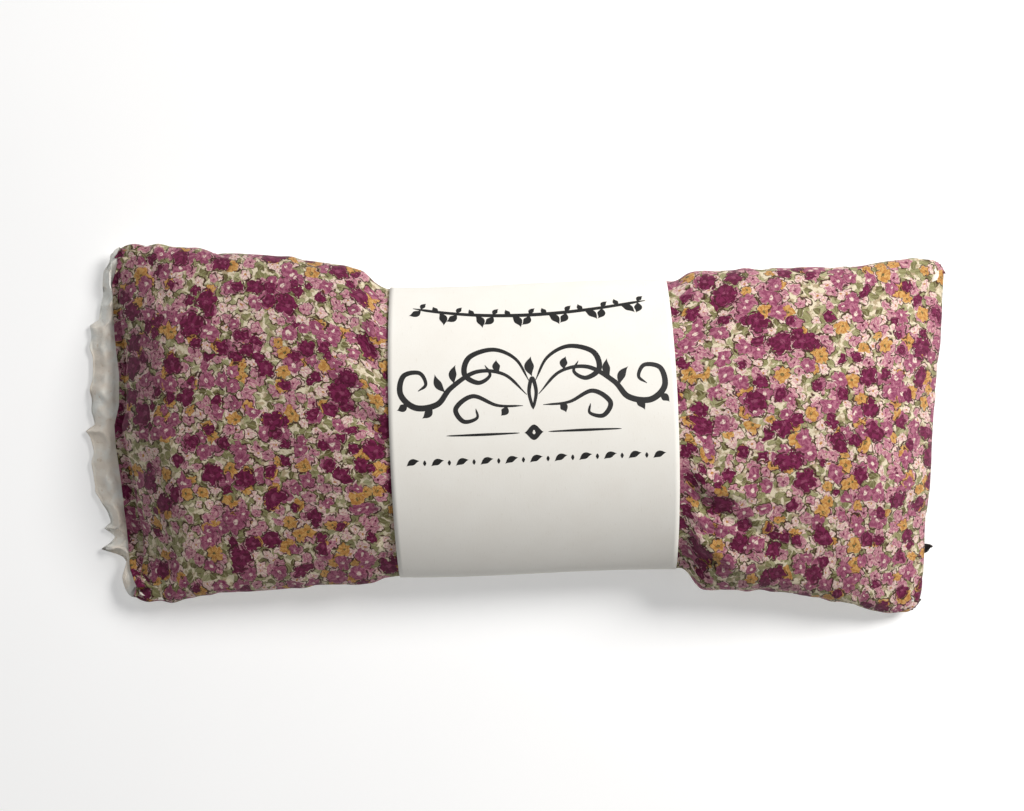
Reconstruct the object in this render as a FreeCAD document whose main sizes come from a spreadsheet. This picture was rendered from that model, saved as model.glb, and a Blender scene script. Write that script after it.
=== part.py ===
import FreeCAD, Part
import math
import os

import Sketcher
from FreeCAD import Placement, Rotation, Vector

# An eye pillow: a cloth cover with a plush back, a seed-filled insert inside it, and a paper
# belly band round its waist.  X runs along the pillow from the open mouth (-X) to the closed
# end (+X), Y across it and Z up.  The origin is under the middle, on the surface it rests on.

# Cross-sections from end to end.  Each has: distance along X from the middle of the long
# seams, half width, height of the side seams, crown above the seams, height of the
# underside, turn about Z in degrees, and sideways shift.
FIELDS = ["X", "Half", "Seam", "Crown", "Belly", "Turn", "Shift"]
SECTIONS = {
    "Lip": (-119.0, 45.5, 4.8, 3.0, -0.1, 3.2, 0.0),
    "FacingLip": (-112.0, 46.9, 5.3, 4.0, -0.1, 3.2, 0.0),
    "Mouth": (-109.0, 47.8, 5.6, 5.6, -0.1, 3.2, 0.0),
    "Hem": (-100.0, 48.4, 8.0, 12.0, -0.1, 3.2, 0.0),
    "BagLeftSeam": (-98.5, 47.0, 7.8, 1.9, 3.0, 3.2, 0.0),
    "BagLeftEnd": (-94.0, 47.6, 8.8, 9.8, 2.0, 3.2, 0.0),
    "LeftEnd": (-84.0, 46.6, 10.5, 17.0, -0.1, 3.2, 0.0),
    "LeftBody": (-62.0, 44.2, 12.5, 19.5, -0.1, 3.1, -0.5),
    "LeftNeck": (-42.2, 41.6, 14.0, 20.3, 0.3, 3.0, -1.4),
    "WaistStart": (-36.4, 37.4, 14.5, 20.0, 1.1, 3.0, -1.95),
    "WaistEnd": (38.8, 37.4, 14.5, 20.0, 1.1, 3.0, 2.2),
    "RightNeck": (44.8, 41.2, 14.0, 20.3, 0.3, 2.4, 1.6),
    "RightBody": (64.0, 44.0, 12.5, 19.5, -0.1, 0.6, 0.8),
    "RightEnd": (86.0, 46.6, 10.0, 16.0, -0.1, -1.8, 0.2),
    "BagRightEnd": (95.0, 47.0, 8.2, 9.4, 1.0, -2.6, 0.0),
    "Shoulder": (99.0, 48.2, 7.5, 10.0, -0.1, -3.0, 0.0),
    "BagRightSeam": (102.0, 45.4, 6.6, 1.9, 1.8, -3.0, 0.0),
    "SeamAllowance": (107.2, 47.8, 4.9, 3.4, -0.1, -3.2, 0.0),
    "EndSeam": (109.0, 47.4, 4.5, 2.2, -0.1, -3.2, 0.0),
}
BODY_RUN = ["LeftEnd", "LeftBody", "LeftNeck", "WaistStart"]
BODY_RUN += ["WaistEnd", "RightNeck", "RightBody", "RightEnd"]
COVER_RUN = ["Mouth", "Hem", *BODY_RUN, "Shoulder", "SeamAllowance", "EndSeam"]
BACK_RUN = ["Lip", *COVER_RUN]
BAG_RUN = ["BagLeftSeam", "BagLeftEnd", *BODY_RUN, "BagRightEnd", "BagRightSeam"]
THREAD_RUN = ["Hem", *BODY_RUN, "Shoulder"]

DRIVING = {
    "Centring": 4.95,  # brings the middle of the whole object to X = 0
    "FlatShare": 0.62,  # share of a half width that lies flat underneath
    "Cotton": 0.6,
    "HemFold": 1.2,
    "SeamFold": 1.8,
    "RestLength": 130.0,  # half sizes of the flat cut that trims the underside
    "RestWidth": 60.0,
    "RestDepth": 1.0,
    "Plush": 3.2,
    "PlushEdge": 1.6,
    "PlushSeamFold": 4.2,
    "FacingSide": 1.8,
    "FacingLift": 0.15,
    "FacingCloth": 0.5,
    "BagSide": 3.0,
    "BagTop": 1.1,
    "BagUnder": 3.7,
    "BagCloth": 0.5,
    "SeedSide": 5.2,
    "SeedTop": 3.6,
    "SeedUnder": 4.4,
    "BandLength": 72.6,
    "BandMiddle": 1.2,
    "BandTurn": 3.0,
    "BandShift": 0.12,
    "BandPaper": 0.25,
    "BandGap": 0.45,
    "BandLap": 9.0,
    "GlueLayer": 0.1,
    "GlueMargin": 2.0,
    "ThreadRadius": 0.2,
    "StitchLength": 2.2,
    "StitchPitch": 3.0,
    "SeamThreadIn": 2.3,
    "BagThreadIn": 4.4,
    "ThreadUp": 0.4,
    "EndThreadReach": 40.0,
    "CrossThreadReach": 38.0,
    "FacingThreadReach": 26.0,
    "HemThreadDown": 0.6,
    "EndThreadX": 105.2,
    "HemThreadX": -101.5,
    "BagThreadLeftX": -96.0,
    "BagThreadRightX": 98.6,
    "ClosingGap": 30.0,
    "ClosingSpace": 2.0,  # left between the closing stitches and the seam beside them
    "LabelWidth": 2.6,
    "LabelOut": 2.4,
    "LabelRoot": 1.2,
    "LabelFold": 0.36,
    "LabelSink": 0.04,
    "LabelPlace": -30.5,
    "BudLength": 2.6,
    "BudRadius": 0.6,
    "BudTip": 0.25,
    "BudLift": 0.35,
    "BudSpread": 20.0,
    "BudCount": 28,
    "BudFirstX": -70.0,
    "BudLastX": 72.0,
    "BudTurn": 137.507,  # degrees from one bud to the next
}

doc = FreeCAD.newDocument("EyePillow")
sizes = doc.addObject("Spreadsheet::Sheet", "Sizes")
cells = dict(DRIVING)
for section, numbers in SECTIONS.items():
    cells.update({section + field: number for field, number in zip(FIELDS, numbers)})
for row, (alias, number) in enumerate(cells.items(), start=1):
    sizes.set(f"A{row}", alias)
    sizes.set(f"B{row}", str(number))
    sizes.setAlias(f"B{row}", alias)
doc.recompute()


def value(expression):
    """What an expression of the sheet's cells comes to."""
    result = sizes.evalExpression(expression)
    return float(getattr(result, "Value", result))


def cell(name):
    return f"Sizes.{name}"


def less(section, field, *insets):
    """A section's size with the named insets taken off, as an expression."""
    return " - ".join([cell(section + field), *(cell(inset) for inset in insets)])


def new_body(label):
    body = doc.addObject("PartDesign::Body", label)
    body.Label = label
    return body


def cross_sketch(body, name, x, turn, shift):
    """A sketch across the pillow, its x along +Y and its y along +Z."""
    sketch = body.newObject("Sketcher::SketchObject", name)
    plane = next(f for f in body.Origin.OriginFeatures if f.Role == "YZ_Plane")
    sketch.AttachmentSupport = [(plane, "")]
    sketch.MapMode = "FlatFace"
    sketch.AttachmentOffset = Placement(Vector(0, 0, 0), Rotation(Vector(0, 1, 0), 1))
    sketch.setExpression("AttachmentOffset.Base.x", shift)
    sketch.setExpression("AttachmentOffset.Base.z", x)
    sketch.setExpression("AttachmentOffset.Rotation.Angle", turn)
    return sketch


def section_sketch(body, section, along="0"):
    """A sketch in the plane of one of the sheet's sections."""
    x = f"{cell(section + 'X')} + {cell('Centring')} + {along}"
    name = f"{body.Name}_at_{section}" + ("_far" if along != "0" else "")
    return cross_sketch(body, name, x, cell(section + "Turn"), cell(section + "Shift"))


class Outline:
    """Adds constrained arcs and lines to one sketch; every size is an expression."""

    def __init__(self, sketch):
        self.sketch = sketch
        self.named = 0

    def rule(self, *terms):
        return self.sketch.addConstraint(Sketcher.Constraint(*terms))

    def size(self, kind, *terms):
        """A dimension whose last term is an expression."""
        expression = terms[-1]
        index = self.rule(kind, *terms[:-1], value(expression))
        self.named += 1
        name = f"Size{self.named}"
        self.sketch.renameConstraint(index, name)
        self.sketch.setExpression(f"Constraints.{name}", expression)

    def place(self, curve, end, across, up):
        self.size("DistanceX", -1, 1, curve, end, across)
        self.size("DistanceY", -1, 1, curve, end, up)

    def arc(self, middle, radius, first, last):
        circle = Part.Circle(middle, Vector(0, 0, 1), radius)
        return self.sketch.addGeometry(Part.ArcOfCircle(circle, first, last))

    def edge(self, first, first_end, second, second_end):
        """A straight edge between the ends of two curves."""
        start = self.sketch.getPoint(first, first_end)
        stop = self.sketch.getPoint(second, second_end)
        line = self.sketch.addGeometry(Part.LineSegment(start, stop))
        self.rule("Coincident", line, 1, first, first_end)
        self.rule("Coincident", line, 2, second, second_end)

    def crown(self, half, base, rise):
        """An arc over the top, from the right-hand seam to the left-hand one."""
        radius = f"(({half})^2 + ({rise})^2) / (2 * ({rise}))"
        middle = Vector(0, value(base) + value(rise) - value(radius), 0)
        first = math.atan2(value(base) - middle.y, value(half))
        arc = self.arc(middle, value(radius), first, math.pi - first)
        self.place(arc, 1, half, base)
        self.rule("Symmetric", arc, 1, arc, 2, -2)
        self.size("Radius", arc, radius)
        return arc

    def side(self, half, base, drop, flat, left=False):
        """An arc from the flat underside up to a side seam."""
        reach = f"(({half}) - ({flat}))"
        radius = f"({reach}^2 + ({drop})^2) / (2 * ({drop}))"
        low = value(base) - value(drop)
        middle = Vector(value(flat), low + value(radius), 0)
        top = math.atan2(value(base) - middle.y, value(reach))
        if left:
            middle.x = -middle.x
            arc = self.arc(middle, value(radius), math.pi - top, 1.5 * math.pi)
        else:
            arc = self.arc(middle, value(radius), -math.pi / 2, top)
        flat_end, seam_end = (2, 1) if left else (1, 2)
        sign = "-" if left else ""
        self.place(arc, flat_end, f"{sign}({flat})", f"({base}) - ({drop})")
        self.place(arc, seam_end, f"{sign}({half})", base)
        self.size("Radius", arc, radius)
        return arc

    def trough(self, half, base, drop, flat):
        """A flat bottom with an arc up to each seam: (right arc, left arc)."""
        right = self.side(half, base, drop, flat)
        left = self.side(half, base, drop, flat, left=True)
        self.edge(right, 1, left, 2)
        return right, left

    def loop(self, corners):
        """A closed outline of straight edges through placed corners."""
        points = [Vector(value(across), value(up), 0) for across, up in corners]
        lines = []
        for start, stop in zip(points, points[1:] + points[:1]):
            lines.append(self.sketch.addGeometry(Part.LineSegment(start, stop)))
        for index, corner in enumerate(corners):
            self.rule("Coincident", lines[index - 1], 2, lines[index], 1)
            self.place(lines[index], 1, *corner)

    def lap(self, arcs, end, across, levels):
        """A layer of paper from the ends of two arcs to a square end under the pillow."""
        layers = []
        for arc, up in zip(arcs, levels):
            start = self.sketch.getPoint(arc, end)
            stop = Vector(value(across), value(up), 0)
            layer = self.sketch.addGeometry(Part.LineSegment(start, stop))
            self.rule("Coincident", layer, 1, arc, end)
            self.place(layer, 2, across, up)
            layers.append(layer)
        self.edge(layers[0], 2, layers[1], 2)


def over_shell(sketch, section, side, top):
    """The upper skin of a section, from its outside to an arc inset at the side and top."""
    outline = Outline(sketch)
    base = cell(section + "Seam")
    outer = outline.crown(less(section, "Half", *side[0]), base, less(section, "Crown", *top[0]))
    inner = outline.crown(less(section, "Half", *side[1]), base, less(section, "Crown", *top[1]))
    outline.edge(outer, 1, inner, 1)
    outline.edge(outer, 2, inner, 2)


def under_shell(sketch, section, side, under):
    """The lower skin of a section, between two troughs with the same flat bottom."""
    outline = Outline(sketch)
    base = cell(section + "Seam")
    flat = f"{cell(section + 'Half')} * {cell('FlatShare')}"
    troughs = []
    for side_insets, under_insets in zip(side, under):
        drop = less(section, "Seam", section + "Belly", *under_insets)
        troughs.append(outline.trough(less(section, "Half", *side_insets), base, drop, flat))
    (outer_right, outer_left), (inner_right, inner_left) = troughs
    outline.edge(outer_right, 2, inner_right, 2)
    outline.edge(outer_left, 1, inner_left, 1)


def cushion_section(sketch, section, side, top, under):
    """A whole closed section, inset all round."""
    outline = Outline(sketch)
    base = cell(section + "Seam")
    half = less(section, "Half", side)
    flat = f"{cell(section + 'Half')} * {cell('FlatShare')}"
    outline.crown(half, base, less(section, "Crown", top))
    drop = less(section, "Seam", section + "Belly", under)
    outline.trough(half, base, drop, flat)


def loft(body, sketches):
    skin = body.newObject("PartDesign::AdditiveLoft", f"{body.Name}_loft")
    skin.Profile = sketches[0]
    skin.Sections = sketches[1:]
    skin.Ruled = True


def make_cover_front():
    """The printed cotton panel, thicker where its hem folds and where the end is sewn."""
    body = new_body("cover_front")
    folds = {"Mouth": "HemFold", "EndSeam": "SeamFold"}
    sketches = []
    for section in COVER_RUN:
        fold = folds.get(section, "Cotton")
        sketch = section_sketch(body, section)
        over_shell(sketch, section, ([], ["Cotton"]), ([], [fold]))
        sketches.append(sketch)
    loft(body, sketches)
    return body


def make_cover_back():
    """The plush panel, with the lip that stands out past the front at the mouth."""
    body = new_body("cover_back")
    sketches = []
    for section in BACK_RUN:
        fold = "PlushSeamFold" if section == "EndSeam" else "Plush"
        sketch = section_sketch(body, section)
        under_shell(sketch, section, ([], ["PlushEdge"]), ([], [fold]))
        sketches.append(sketch)
    loft(body, sketches)
    trim_flat(body)
    return body


def trim_flat(body):
    """Trims a body level with the surface it rests on."""
    sketch = body.newObject("Sketcher::SketchObject", "rest_plane")
    plane = next(f for f in body.Origin.OriginFeatures if f.Role == "XY_Plane")
    sketch.AttachmentSupport = [(plane, "")]
    sketch.MapMode = "FlatFace"
    outline = Outline(sketch)
    ahead = cell("RestLength")
    aside = cell("RestWidth")
    corners = [(f"-{ahead}", f"-{aside}"), (ahead, f"-{aside}")]
    outline.loop(corners + [(ahead, aside), (f"-{ahead}", aside)])
    pocket = body.newObject("PartDesign::Pocket", "rest_trim")
    pocket.Profile = sketch
    pocket.setExpression("Length", cell("RestDepth"))


def make_mouth_facing():
    """The floral strip that is turned in along the plush at the mouth."""
    body = new_body("mouth_facing")
    sketches = []
    for section, along in [("FacingLip", "0"), ("Mouth", "0"), ("Hem", "0")]:
        sketch = section_sketch(body, section, along)
        side = (["FacingSide"], ["FacingSide", "FacingCloth"])
        under = (["Plush", "FacingLift"], ["Plush", "FacingLift", "FacingCloth"])
        under_shell(sketch, section, side, under)
        sketches.append(sketch)
    loft(body, sketches)
    return body


def make_insert_front():
    """The upper panel of the inner bag."""
    body = new_body("insert_front")
    sketches = []
    for section in BAG_RUN:
        sketch = section_sketch(body, section)
        side = (["BagSide"], ["BagSide", "BagCloth"])
        over_shell(sketch, section, side, (["BagTop"], ["BagTop", "BagCloth"]))
        sketches.append(sketch)
    loft(body, sketches)
    return body


def make_insert_back():
    """The lower panel of the inner bag."""
    body = new_body("insert_back")
    sketches = []
    for section in BAG_RUN:
        sketch = section_sketch(body, section)
        side = (["BagSide"], ["BagSide", "BagCloth"])
        under_shell(sketch, section, side, (["BagUnder"], ["BagUnder", "BagCloth"]))
        sketches.append(sketch)
    loft(body, sketches)
    return body


def make_seed_fill():
    """The flax seeds, as one closed solid that leaves room for the buds on top."""
    body = new_body("flax_seed_fill")
    sketches = []
    for section in BAG_RUN[1:-1]:
        sketch = section_sketch(body, section)
        cushion_section(sketch, section, "SeedSide", "SeedTop", "SeedUnder")
        sketches.append(sketch)
    loft(body, sketches)
    return body


def make_belly_band():
    """The paper band: one open strip, whose ends lap underneath."""
    body = new_body("belly_band")
    x = f"{cell('BandMiddle')} + {cell('Centring')}"
    sketch = cross_sketch(body, "band_section", x, cell("BandTurn"), cell("BandShift"))
    outline = Outline(sketch)
    seam = cell("WaistStartSeam")
    flat = f"{cell('WaistStartHalf')} * {cell('FlatShare')}"
    inner_half = f"{cell('WaistStartHalf')} + {cell('BandGap')}"
    inner_rise = f"{cell('WaistStartCrown')} + {cell('BandGap')}"
    paper = cell("BandPaper")
    glued = f"{paper} + {cell('GlueLayer')}"
    outer_half = f"{inner_half} + {paper}"
    outline.crown(outer_half, seam, f"{inner_rise} + {paper}")
    outline.crown(inner_half, seam, inner_rise)
    levels = {"0": outer_half, paper: inner_half}
    under = [outline.side(half, seam, f"{seam} - {up}", flat) for up, half in levels.items()]
    levels = {glued: outer_half, f"{glued} + {paper}": inner_half}
    lapped = []
    for up, half in levels.items():
        lapped.append(outline.side(half, seam, f"{seam} - ({up})", flat, left=True))
    outline.lap(under, 1, f"-{cell('BandLap')}", ["0", paper])
    outline.lap(lapped, 2, cell("BandLap"), [glued, f"{glued} + {paper}"])
    pad = body.newObject("PartDesign::Pad", "band_pad")
    pad.Profile = sketch
    pad.Midplane = True
    pad.setExpression("Length", cell("BandLength"))
    return body


def make_band_glue():
    """The thin strip of glue between the lapped ends of the band."""
    glue = doc.addObject("Part::Box", "band_glue_strip")
    glue.Label = "band_glue_strip"
    glue.setExpression("Length", f"{cell('BandLength')} - 2 * {cell('GlueMargin')}")
    glue.setExpression("Width", f"2 * ({cell('BandLap')} - {cell('GlueMargin')})")
    glue.setExpression("Height", cell("GlueLayer"))
    turn = Rotation(Vector(0, 0, 1), value(cell("BandTurn")))
    corner = Vector(-value("Sizes.BandLength / 2 - Sizes.GlueMargin"), 0, 0)
    corner.y = -value("Sizes.BandLap - Sizes.GlueMargin")
    middle = Vector(value("Sizes.BandMiddle + Sizes.Centring"), value("Sizes.BandShift"), 0)
    middle.z = value("Sizes.BandPaper")
    glue.Placement = Placement(middle + turn.multVec(corner), turn)
    return glue


def make_side_label():
    """The folded black label, its root held in the end seam."""
    body = new_body("side_label")
    sketch = section_sketch(body, "EndSeam", f"(-{cell('LabelRoot')})")
    outline = Outline(sketch)
    width = cell("LabelWidth")
    fold = cell("LabelFold")
    left = f"{cell('LabelPlace')} - {width} / 2"
    low = f"{cell('EndSeamSeam')} - {cell('LabelSink')} - {fold} / 2"
    corners = [(left, low), (f"{left} + {width}", low)]
    corners += [(f"{left} + {width}", f"{low} + {fold}"), (left, f"{low} + {fold}")]
    outline.loop(corners)
    pad = body.newObject("PartDesign::Pad", "label_pad")
    pad.Profile = sketch
    pad.setExpression("Length", f"{cell('LabelRoot')} + {cell('LabelOut')}")
    doc.recompute()
    middle = section_point("EndSeam", value(cell("LabelPlace")), value(cell("EndSeamSeam")))
    far = value(f"{cell('LabelOut')} - {fold}")
    tips = []
    for index, tip in enumerate(pad.Shape.Edges, start=1):
        across = abs(tip.tangentAt(tip.FirstParameter).y) > 0.9
        if across and tip.CenterOfMass.x > middle.x + far:
            tips.append(f"Edge{index}")
    bend = body.newObject("PartDesign::Fillet", "label_fold")
    bend.Base = (pad, tips)
    bend.setExpression("Radius", f"{fold} * 0.45")
    return body


def section_point(section, across, up, along=0.0):
    """A point in a section's plane, in the pillow's own frame."""
    turn = math.radians(value(cell(section + "Turn")))
    x = value(f"{cell(section + 'X')} + {cell('Centring')}") + along
    y = value(cell(section + "Shift")) + across * math.cos(turn)
    return Vector(x - across * math.sin(turn), y, up)


def stitches_along(points):
    """Short cylinders at an even pitch along each straight run of a seam."""
    pitch = value(cell("StitchPitch"))
    length = value(cell("StitchLength"))
    radius = value(cell("ThreadRadius"))
    made = []
    for start, stop in zip(points, points[1:]):
        run = stop - start
        count = int(run.Length / pitch + 0.1)
        spare = run.Length - count * pitch
        run.normalize()
        for index in range(count):
            foot = start + run * (spare / 2 + index * pitch + (pitch - length) / 2)
            made.append(Part.makeCylinder(radius, length, foot, run))
    return made


def stitch_rows(label, rows):
    """One node of separate stitches, from the points of each row."""
    feature = doc.addObject("Part::Feature", label)
    feature.Label = label
    feature.Shape = Part.makeCompound([s for row in rows for s in stitches_along(row)])
    return feature


def seam_row(run, side, inset):
    """The points of a long seam's stitches: side is 1 for the far seam, -1 for the near one."""
    points = []
    for section in run:
        across = side * value(less(section, "Half", inset))
        points.append(section_point(section, across, seam_height(section, across)))
    return points


def between(first, second, x_cell):
    """How far along from one section to the next a place named in the sheet lies."""
    start = value(cell(first + "X"))
    stop = value(cell(second + "X"))
    return (value(cell(x_cell)) - start) / (stop - start)


def cross_row(first, second, x_cell, spans, lift):
    """Rows across the pillow between two sections; lift(section, across) is the height."""
    share = between(first, second, x_cell)
    step = value(cell("StitchPitch"))
    rows = []
    for low, high in spans:
        row = []
        for index in range(int((high - low) // step) + 1):
            across = low + index * step
            ends = [section_point(s, across, lift(s, across)) for s in (first, second)]
            row.append(ends[0] + (ends[1] - ends[0]) * share)
        rows.append(row)
    return rows


def seam_height(section, across):
    return value(f"{cell(section + 'Seam')} + Sizes.ThreadUp")


def arc_height(half, rise, across):
    """How high an arc over a seam stands at a place across it."""
    radius = (half * half + rise * rise) / (2 * rise)
    return math.sqrt(radius * radius - across * across) - radius + rise


def hem_height(section, across):
    """Just under the folded hem of the front panel."""
    fold = "HemFold" if section == "Mouth" else "Cotton"
    half = value(less(section, "Half", "Cotton"))
    rise = value(less(section, "Crown", fold))
    return value(f"{cell(section + 'Seam')} - Sizes.HemThreadDown") + arc_height(half, rise, across)


def facing_height(section, across):
    return value("Sizes.Plush + Sizes.FacingLift + Sizes.FacingCloth + Sizes.ThreadUp")


def make_stitching():
    """Every row of thread, each in a node of its own."""
    end = value(cell("EndThreadReach"))
    cross = value(cell("CrossThreadReach"))
    flat = value(cell("FacingThreadReach"))
    gap = value("Sizes.ClosingGap / 2")
    sewn = value("Sizes.ClosingGap / 2 + Sizes.ClosingSpace")
    hem = [(-cross, cross)]
    closed = [(-cross, -sewn), (sewn, cross)]
    shoulder = ("Shoulder", "SeamAllowance", "EndThreadX")
    bag_left = ("BagLeftSeam", "BagLeftEnd", "BagThreadLeftX")
    bag_right = ("BagRightEnd", "BagRightSeam", "BagThreadRightX")
    mouth = ("Mouth", "Hem", "HemThreadX")
    bag = [seam_row(BODY_RUN, side, "BagThreadIn") for side in (1, -1)]
    bag += cross_row(*bag_left, hem, seam_height)
    bag += cross_row(*bag_right, closed, seam_height)
    rows = {
        "far_seam_stitches": [seam_row(THREAD_RUN, 1, "SeamThreadIn")],
        "near_seam_stitches": [seam_row(THREAD_RUN, -1, "SeamThreadIn")],
        "end_seam_stitches": cross_row(*shoulder, [(-end, end)], seam_height),
        "hem_stitches": cross_row(*mouth, hem, hem_height),
        "facing_stitches": cross_row(*mouth, [(-flat, flat)], facing_height),
        "insert_seam_stitches": bag,
        "insert_closing_stitches": cross_row(*bag_right, [(-gap, gap)], seam_height),
    }
    return [stitch_rows(label, points) for label, points in rows.items()]


def fill_top(x, across):
    """The place on the seeds' upper surface above a point of the floor."""
    for first, second in zip(BODY_RUN, BODY_RUN[1:]):
        start = value(cell(first + "X"))
        stop = value(cell(second + "X"))
        if start <= x <= stop:
            break
    ends = []
    for section in (first, second):
        half = value(less(section, "Half", "SeedSide"))
        rise = value(less(section, "Crown", "SeedTop"))
        up = value(cell(section + "Seam")) + arc_height(half, rise, across)
        ends.append(section_point(section, across, up))
    return ends[0] + (ends[1] - ends[0]) * ((x - start) / (stop - start))


def make_lavender_buds():
    """Dried buds scattered between the seeds and the upper panel of the bag."""
    buds = []
    length = value("Sizes.BudLength / 2")
    radius = value(cell("BudRadius"))
    tip = value(cell("BudTip"))
    count = int(value(cell("BudCount")))
    first = value(cell("BudFirstX"))
    spread = value("Sizes.BudLastX - Sizes.BudFirstX")
    golden = math.radians(value(cell("BudTurn")))
    for index in range(count):
        x = first + spread * (index + 0.5) / count
        across = value(cell("BudSpread")) * math.sin(golden * index)
        place = fill_top(x, across) + Vector(0, 0, radius + value(cell("BudLift")))
        way = Vector(math.cos(golden * index), math.sin(golden * index), 0)
        base = Part.makeCone(radius, tip, length, place, way)
        top = Part.makeCone(radius, tip, length, place, way * -1)
        buds.append(base.fuse(top))
    feature = doc.addObject("Part::Feature", "lavender_buds")
    feature.Label = "lavender_buds"
    feature.Shape = Part.makeCompound(buds)
    return feature


makers = [
    make_cover_front,
    make_cover_back,
    make_mouth_facing,
    make_side_label,
    make_insert_front,
    make_insert_back,
    make_seed_fill,
    make_lavender_buds,
    make_belly_band,
    make_band_glue,
]
parts = [make() for make in makers] + make_stitching()
doc.recompute()

for thing in doc.Objects:
    if "Invalid" in thing.State or "Error" in thing.State:
        raise SystemExit(f"{thing.Label} failed: {thing.State}")
os.makedirs("parts", exist_ok=True)
for part in parts:
    shape = part.Shape
    if shape.isNull() or not shape.isValid():
        raise SystemExit(f"{part.Label} has no valid shape")
    shape.exportStep(f"parts/{part.Label}.step")
    box = shape.BoundBox
    spans = [(box.XMin, box.XMax), (box.YMin, box.YMax), (box.ZMin, box.ZMax)]
    reach = "  ".join(f"{low:.2f} {high:.2f}" for low, high in spans)
    print(f"{part.Label:24} {len(shape.Solids):3} solids {shape.Volume:10.1f} mm3  {reach}")
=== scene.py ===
import math

import bpy
import numpy as np
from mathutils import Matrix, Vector


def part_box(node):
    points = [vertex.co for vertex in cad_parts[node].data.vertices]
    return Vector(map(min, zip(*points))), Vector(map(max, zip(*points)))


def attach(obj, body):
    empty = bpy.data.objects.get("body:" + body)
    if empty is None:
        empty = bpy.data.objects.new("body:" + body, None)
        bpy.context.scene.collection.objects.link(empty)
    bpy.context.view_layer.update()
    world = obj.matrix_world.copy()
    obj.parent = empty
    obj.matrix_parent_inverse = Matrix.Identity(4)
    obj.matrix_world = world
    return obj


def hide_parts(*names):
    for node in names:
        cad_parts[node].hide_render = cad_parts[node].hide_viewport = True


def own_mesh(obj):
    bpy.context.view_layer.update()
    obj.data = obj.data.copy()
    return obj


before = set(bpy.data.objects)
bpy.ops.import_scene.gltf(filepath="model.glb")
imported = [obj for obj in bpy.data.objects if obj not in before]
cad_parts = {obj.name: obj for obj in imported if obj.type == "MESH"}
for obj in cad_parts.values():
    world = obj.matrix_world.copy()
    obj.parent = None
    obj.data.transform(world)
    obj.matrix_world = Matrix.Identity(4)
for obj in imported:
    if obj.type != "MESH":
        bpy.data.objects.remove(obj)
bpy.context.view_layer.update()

# An eye pillow seen from above: printed cotton front, plush back, seed insert, paper band.
# Everything is in metres in the CAD frame: +X towards the closed end, +Z up.

MM = 0.001

# The filled cover's cross-sections, from the mouth to the closed end, in millimetres:
# distance along, half width, seam height, crown, underside, turn in degrees, sideways shift.
SECTIONS = np.array([
    (-109.0, 47.8, 5.6, 3.2, 0.0, 3.2, 0.0),
    (-100.0, 48.4, 8.0, 12.0, 0.0, 3.2, 0.0),
    (-84.0, 46.8, 10.5, 17.0, 0.0, 3.2, 0.7),
    (-62.0, 44.5, 12.5, 19.5, 0.0, 3.1, 0.9),
    (-42.2, 41.0, 14.0, 20.3, 0.3, 3.0, 0.0),
    (-36.4, 37.7, 14.5, 20.0, 1.1, 3.0, -1.4),
    (38.8, 37.7, 14.5, 20.0, 1.1, 3.0, 2.0),
    (44.8, 42.1, 14.0, 20.3, 0.3, 2.4, 0.5),
    (64.0, 44.0, 12.5, 19.5, 0.0, 0.6, 0.8),
    (86.0, 46.6, 10.0, 16.0, 0.0, -1.8, 0.2),
    (99.0, 48.2, 7.5, 10.0, 0.0, -3.0, 0.0),
    (107.2, 47.8, 4.9, 3.4, 0.0, -3.2, 0.0),
    (109.0, 47.4, 4.5, 1.0, 0.0, -3.2, 0.0),
])
FLAT_SHARE = 0.62
CENTRING = (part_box("cover_front")[0].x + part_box("cover_front")[1].x) / 2
HALF_LENGTH = 109 * MM
CUT_HALF_WIDTH = 49 * MM
BAND_MIDDLE = 1.2 * MM
BAND_TURN = math.radians(3.0)
BAND_HALF = 36.3 * MM
BAND_GAP = 0.45 * MM
PAPER = 0.25 * MM
SEAM_TUCK = 1.4 * MM
CLOTH = 0.55 * MM  # thickness of the printed cotton
CORNER_RADIUS = 3.5 * MM
OFF_FLOOR = 0.02 * MM
COVER_GRID = (150, 66)  # steps along and across, before they are doubled
LIP_COLUMNS = 18
SETTLE_FRAMES = 26
SETTLE_CAP = 4.5 * MM  # how far the simulation may move the cloth
FLOOR_GLOW = 0.28

# How far the hem at the mouth lies back from the straight line between its corners, and how
# far the facing shows past the hem: (share across, millimetres), near corner to far corner.
HEM_WAVE = [(-1, 0), (-0.9, 2.8), (-0.76, 4.4), (-0.62, 4.5), (-0.48, 3.2), (-0.28, 2.6),
            (-0.14, 0.9), (-0.02, 0), (0.07, 1.3), (0.2, 1.6), (0.32, 2.1), (0.48, 1.5),
            (0.62, 0.7), (0.85, 0.2), (1, 0)]
FACING_WAVE = [(-1, 4.0), (-0.93, 2.0), (-0.85, 0.2), (-0.73, -0.4), (-0.55, -1.0), (-0.3, -2.0),
               (-0.14, -2.8), (-0.02, -3.0), (0.09, -1.6), (0.27, -1.2), (0.48, -2.0),
               (0.59, -2.2), (0.8, -1.8), (0.92, 0.5), (1, 4.0)]


# ---------------------------------------------------------------- shape of the filled cover

def slopes(x, y):
    """Tangents that keep a curve through the points from overshooting them."""
    step = np.diff(x)
    rise = np.diff(y) / step
    inner = np.zeros(len(x))
    same = rise[:-1] * rise[1:] > 0
    harmonic = 2 * rise[:-1] * rise[1:] / np.where(same, rise[:-1] + rise[1:], 1)
    inner[1:-1] = np.where(same, harmonic, 0)
    inner[0], inner[-1] = rise[0], rise[-1]
    return inner


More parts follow.
